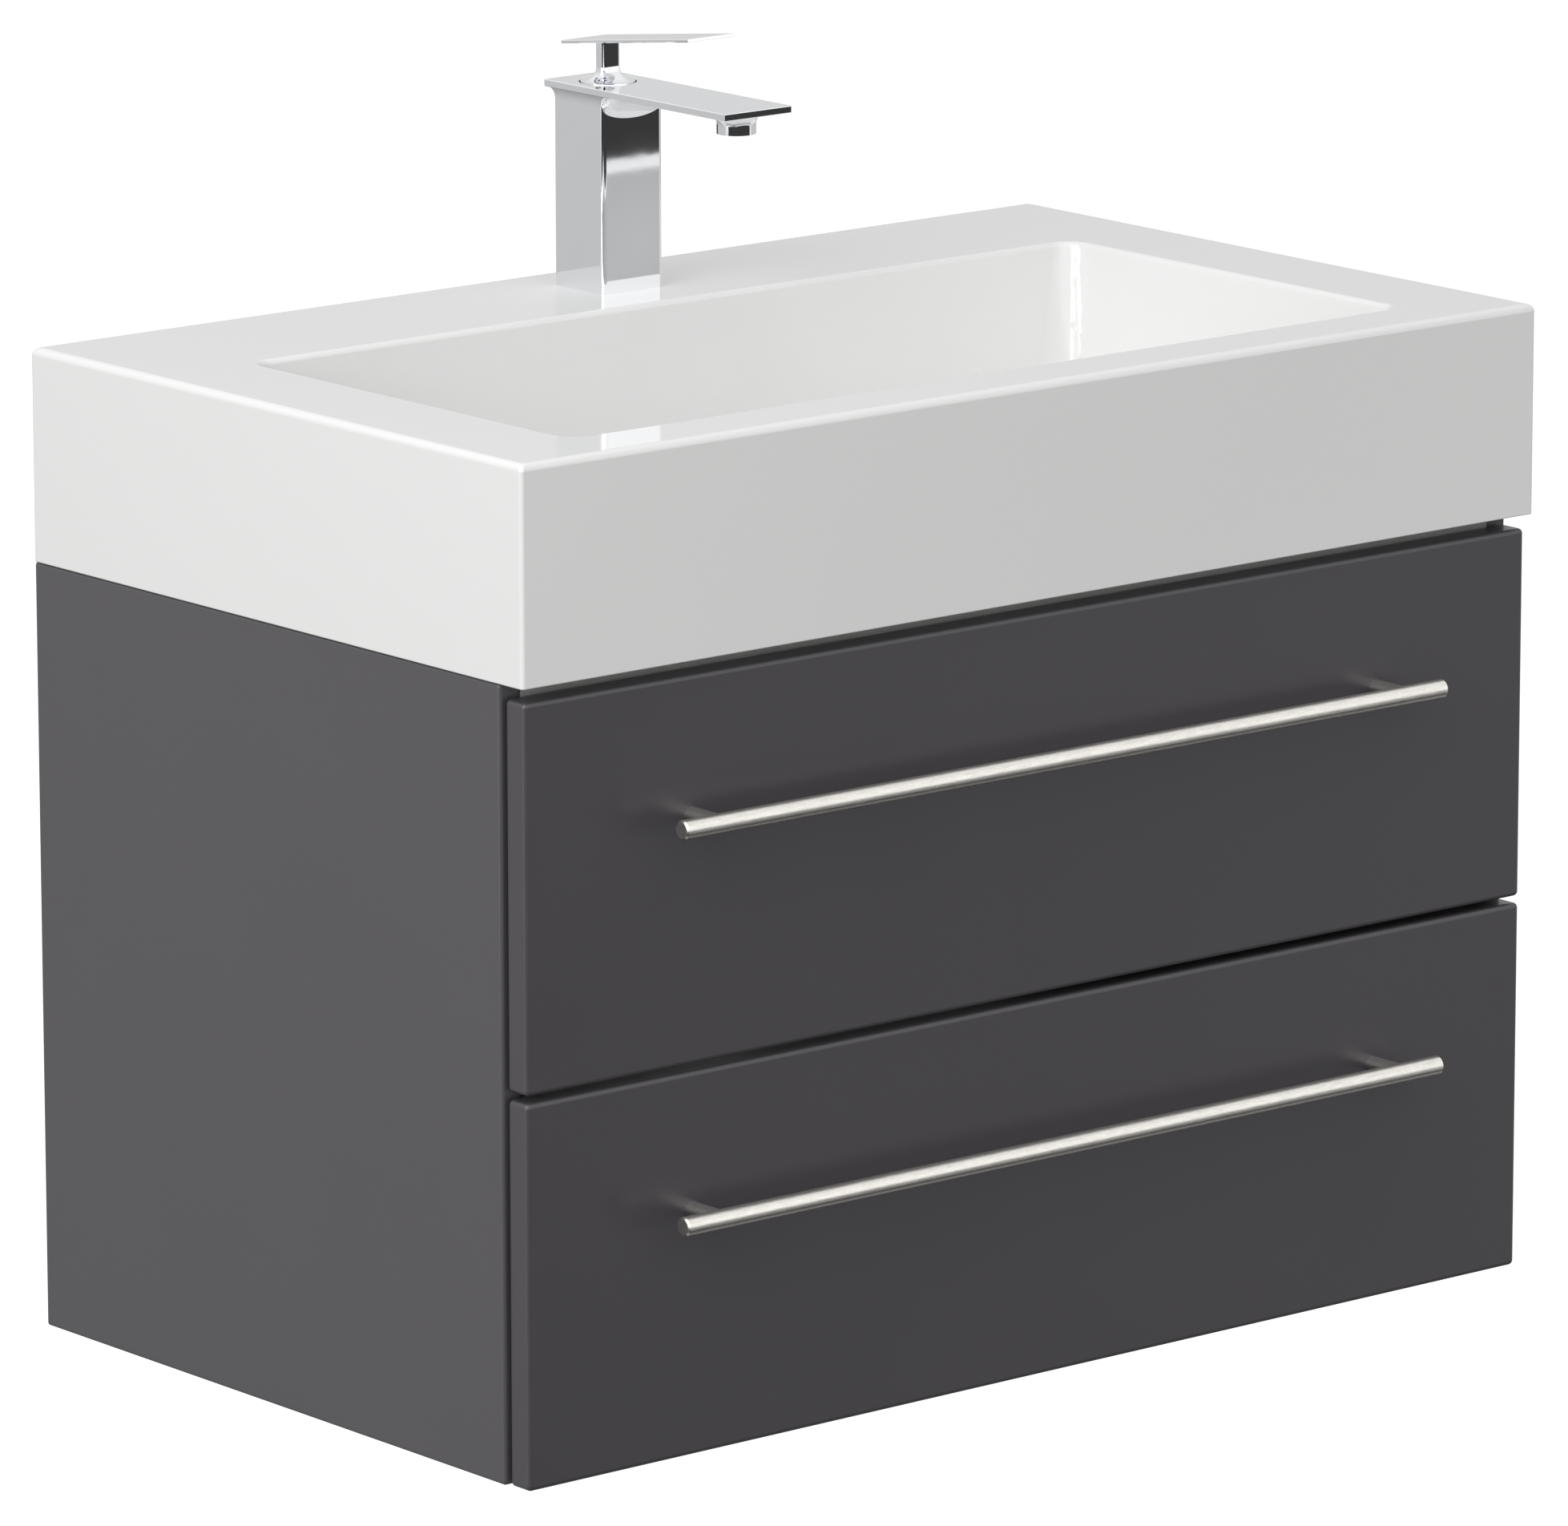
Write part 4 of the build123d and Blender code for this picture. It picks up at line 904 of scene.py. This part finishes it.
@dataclass
class Tap:
    """Single-lever tap with its fixing and cartridge; the column swells forward under the spout."""

    front_y: float = -0.08655
    under_z: float = 0.3026
    column_half: float = 0.0241
    column_corner: float = 0.003
    swell_half: float = 0.0238
    swell_end: int = 10
    swell_reach: float = 0.012
    swell_low: float = 0.0069
    swell_bow: float = 0.0094
    swell_span: float = 0.0255
    swell_sink: float = 0.0002
    swell_skin: float = 0.0004
    swell_cuts: tuple[int, int] = (48, 20)
    crease: float = math.radians(40.0)

    def add_swell(self, shop: Workshop) -> None:
        """Models the hollow curve between the column's front and the spout's underside, bowed across.

        Args:
            shop: the workshop that holds the finishes.
        """
        bpy.ops.object.select_all(action="DESELECT")
        cuts_across, cuts_down = self.swell_cuts
        bpy.ops.mesh.primitive_grid_add(x_subdivisions=cuts_across, y_subdivisions=cuts_down, size=1.0)
        piece = bpy.context.object
        piece.name = "tap_neck_swell"
        for vertex in piece.data.vertices:
            share, down = 2.0 * vertex.co.x, 0.5 - vertex.co.y
            across = share * self.swell_half
            depth = self.swell_low + self.swell_bow * math.sqrt(1.0 - (across / self.swell_span) ** 2)
            bend = max(0.0, abs(across) - self.column_half + self.column_corner)
            fall = self.column_corner - math.sqrt(self.column_corner**2 - bend**2)
            out = self.swell_reach * (1.0 - share**self.swell_end) * (1.0 - down) * (2.0 - down) / 2.0
            vertex.co = (across, self.front_y + fall + self.swell_sink - out,
                         self.under_z + self.swell_sink - down * depth)
        wall = piece.modifiers.new("skin", "SOLIDIFY")
        wall.thickness = self.swell_skin
        bpy.ops.object.modifier_apply(modifier=wall.name)
        bpy.ops.object.mode_set(mode="EDIT")
        bpy.ops.mesh.select_all(action="SELECT")
        bpy.ops.mesh.normals_make_consistent(inside=False)
        bpy.ops.object.mode_set(mode="OBJECT")
        bpy.ops.object.shade_smooth_by_angle(angle=self.crease)
        piece.data.materials.append(shop.finish(TAP_CHROME))
        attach(piece, "cabinet")
        LOG.info("%s modelled", piece.name)

    def build(self, shop: Workshop) -> None:
        """Adds the swell and dresses the tap's pieces.

        Args:
            shop: the workshop that holds the finishes.
        """
        self.add_swell(shop)
        shop.dress(TAP_CHROME, "tap_body", "lever")
        shop.dress(SEAL_RUBBER, "tap_gasket")
        shop.dress(STUD_BRASS, "tap_stud")
        shop.dress(TAP_BRASS, "tap_nut", "cartridge_nut", "cartridge_rotor")
        shop.dress(FASTENER_STEEL, "tap_washer", "lever_pin")
        shop.dress(FITTING_PLASTIC, "aerator", "cartridge")


@dataclass
class Runners:
    """Telescopic runners of both drawers."""

    levels: tuple[str, ...] = ("upper", "lower")

    def build(self, shop: Workshop) -> None:
        """Dresses the runners' members, glides and screws.

        Args:
            shop: the workshop that holds the finishes.
        """
        shop.dress(RUNNER_STEEL, "runner_cabinet_members")
        shop.dress(FASTENER_STEEL, "runner_cabinet_screws")
        for level in self.levels:
            shop.dress(RUNNER_STEEL, f"{level}_runner_middle", f"{level}_runner_drawer_members")
            shop.dress(GLIDE_PLASTIC, f"{level}_runner_glides")
            shop.dress(FASTENER_STEEL, f"{level}_runner_screws")


@dataclass
class Drawer:
    """One drawer with its front, box and bar handle."""

    level: str
    backs: tuple[str, ...]

    def build(self, shop: Workshop) -> None:
        """Dresses the front, the box and the handle.

        Args:
            shop: the workshop that holds the finishes.
        """
        shop.dress(FRONT_LACQUER, f"{self.level}_front")
        shop.dress(DRAWER_BOARD, f"{self.level}_side_left", f"{self.level}_side_right", f"{self.level}_bottom")
        shop.dress(DRAWER_BOARD, *(f"{self.level}_{back}" for back in self.backs))
        shop.dress(BUMPER_RUBBER, f"{self.level}_bumpers")
        shop.dress(HANDLE_STEEL, f"{self.level}_handle_bar", f"{self.level}_handle_posts")
        shop.dress(FASTENER_STEEL, f"{self.level}_handle_screws")


@dataclass
class Guard:
    """Guard round the cut-out in the upper drawer."""

    def build(self, shop: Workshop) -> None:
        """Dresses the guard."""
        shop.dress(GUARD_PLASTIC, "upper_guard")


@dataclass
class Studio:
    """Pale floor, soft light and the camera at the photograph's viewing angle."""

    eye: Triple = (-4.290751, -5.422568, 1.421995)
    right: Triple = (0.77050623, -0.63743128, -0.00122907)
    above: Triple = (0.14131126, 0.16893164, 0.97544514)
    behind: Triple = (-0.62157162, -0.75176024, 0.2202391)
    lens: float = 256.24
    sensor: float = 36.0
    far_clip: float = 300.0
    floor_z: float = -0.9
    floor_size: float = 80.0
    floor_grey: float = 0.9
    floor_cloud: float = 0.4
    floor_unevenness: float = 0.01
    floor_rough: float = 0.9
    floor_glow: float = 0.5
    lamp_place: Triple = (-2.74, -1.07, 1.7)
    lamp_target: Triple = (0.0, -0.24, 0.05)
    lamp_size: float = 2.4
    lamp_power: float = 48.0
    soft_level: float = 0.4
    soft_slope: Triple = (-0.24, -0.3, 0.38)
    wall_stops: Stops = ((0.0, 0.25), (0.3, 0.45), (0.4, 0.58), (0.5, 0.7), (0.61, 0.73), (0.75, 0.9), (0.9, 1.0))
    ahead_way: Triple = (-0.424, -0.905, 0.0)
    panel_stops: Stops = ((0.1, 0.0), (0.45, 1.0))
    panel_level: float = 1.3
    patch_stops: Stops = ((0.3, 0.0), (0.38, 1.0))
    patch_rise: Stops = ((0.435, 1.0), (0.47, 0.0))
    pit_stops: Stops = ((0.0, 0.0), (0.3, 1.0))
    pit_rise: Stops = ((0.2, 1.0), (0.36, 0.0))
    dark_level: float = 0.042
    spot_stops: Stops = ((0.985, 0.0), (0.995, 1.0))
    spot_level: float = 8.0

    def build(self) -> None:
        """Sets up the stage."""
        self.lay_floor()
        self.light_world()
        self.hang_lamp("side_lamp", self.lamp_place, self.lamp_target, self.lamp_size, self.lamp_power)
        self.place_camera()
        bpy.context.scene.view_settings.view_transform = "Standard"

    def lay_floor(self) -> None:
        """Lays a wide pale floor under the hanging cabinet."""
        bpy.ops.object.select_all(action="DESELECT")
        bpy.ops.mesh.primitive_plane_add(size=self.floor_size, location=(0.0, 0.0, self.floor_z))
        floor = bpy.context.object
        floor.name = "floor"
        mix = Palette("pale_floor")
        tone = mix.effect(Effect.DRIFT, Colour=grey(self.floor_grey), Scale=self.floor_cloud,
                          Amount=self.floor_unevenness)
        floor.data.materials.append(mix.shade(Base_Color=tone, Roughness=self.floor_rough, Specular_IOR_Level=0.0,
                                              Emission_Color=grey(1.0), Emission_Strength=self.floor_glow))
        floor.visible_glossy = False
        floor.visible_diffuse = False

    def light_world(self) -> None:
        """Surrounds the object with soft light, brighter to the left and above.

        Glossy faces see a wall that brightens upwards, a bright panel ahead, dark places low in front and one bright
        spot at the left. The camera sees plain white.
        """
        world = bpy.data.worlds.new("studio")
        world.use_nodes = True
        bpy.context.scene.world = world
        bench = Bench(world.node_tree)
        world.node_tree.nodes.clear()
        way = bench.add("ShaderNodeTexCoord").outputs["Generated"]
        soft = bench.maths("MAXIMUM", bench.maths("ADD", bench.along(way, self.soft_slope), self.soft_level), 0.0)
        rise = bench.maths("MULTIPLY_ADD", bench.along(way, (0.0, 0.0, 1.0)), 0.5, 0.5)
        wall = bench.ramp(rise, self.wall_stops)
        ahead = bench.along(way, self.ahead_way)
        panel = bench.ramp(ahead, self.panel_stops)
        below = bench.ramp(rise, self.patch_rise)
        patch = bench.maths("MULTIPLY", bench.ramp(ahead, self.patch_stops), below)
        deep = bench.ramp(rise, self.pit_rise)
        front = bench.ramp(bench.along(way, (0.0, -1.0, 0.0)), self.pit_stops)
        pit = bench.maths("MULTIPLY", front, deep)
        spot = bench.ramp(bench.along(way, (-1.0, 0.0, 0.0)), self.spot_stops)
        lit = bench.tint(panel, wall, grey(self.panel_level))
        dark = bench.tint(bench.maths("MAXIMUM", patch, pit), lit, grey(self.dark_level))
        mirror = bench.tint(spot, dark, grey(self.spot_level))
        path = bench.add("ShaderNodeLightPath")
        seen = bench.tint(path.outputs["Is Glossy Ray"], soft, mirror)
        whole = bench.tint(path.outputs["Is Camera Ray"], seen, grey(1.0))
        light = bench.add("ShaderNodeBackground")
        bench.put(light, "Color", whole)
        bench.put(bench.add("ShaderNodeOutputWorld"), "Surface", light.outputs[0])

    def hang_lamp(self, name: str, place: Triple, target: Triple, size: float, power: float) -> None:
        """Hangs a square soft lamp.

        Args:
            name: the lamp's name.
            place: where it hangs.
            target: what it looks at.
            size: the side of its square.
            power: its power in watts.
        """
        lamp = bpy.data.lights.new(name, "AREA")
        lamp.size = size
        lamp.energy = power
        holder = bpy.data.objects.new(name, lamp)
        bpy.context.scene.collection.objects.link(holder)
        holder.location = place
        holder.rotation_euler = (Vector(target) - Vector(place)).to_track_quat("-Z", "Y").to_euler()

    def place_camera(self) -> None:
        """Places the camera."""
        camera = bpy.data.cameras.new("camera")
        camera.lens = self.lens
        camera.sensor_fit = "HORIZONTAL"
        camera.sensor_width = self.sensor
        camera.clip_end = self.far_clip
        holder = bpy.data.objects.new("camera", camera)
        bpy.context.scene.collection.objects.link(holder)
        turn = Matrix((self.right, self.above, self.behind)).transposed()
        holder.matrix_world = Matrix.Translation(self.eye) @ turn.to_4x4()
        bpy.context.scene.camera = holder


def main() -> None:
    """Builds the sub-assemblies in order, then the studio."""
    logging.basicConfig(level=logging.INFO, format="%(name)s: %(message)s")
    shop = Workshop()
    for assembly in (Carcass(), Hanging(), Basin(), Tap(), Runners(), Drawer("upper", ("back_left", "back_right")),
                     Drawer("lower", ("back",)), Guard()):
        assembly.build(shop)
    Studio().build()


if __name__ == "__main__":
    main()
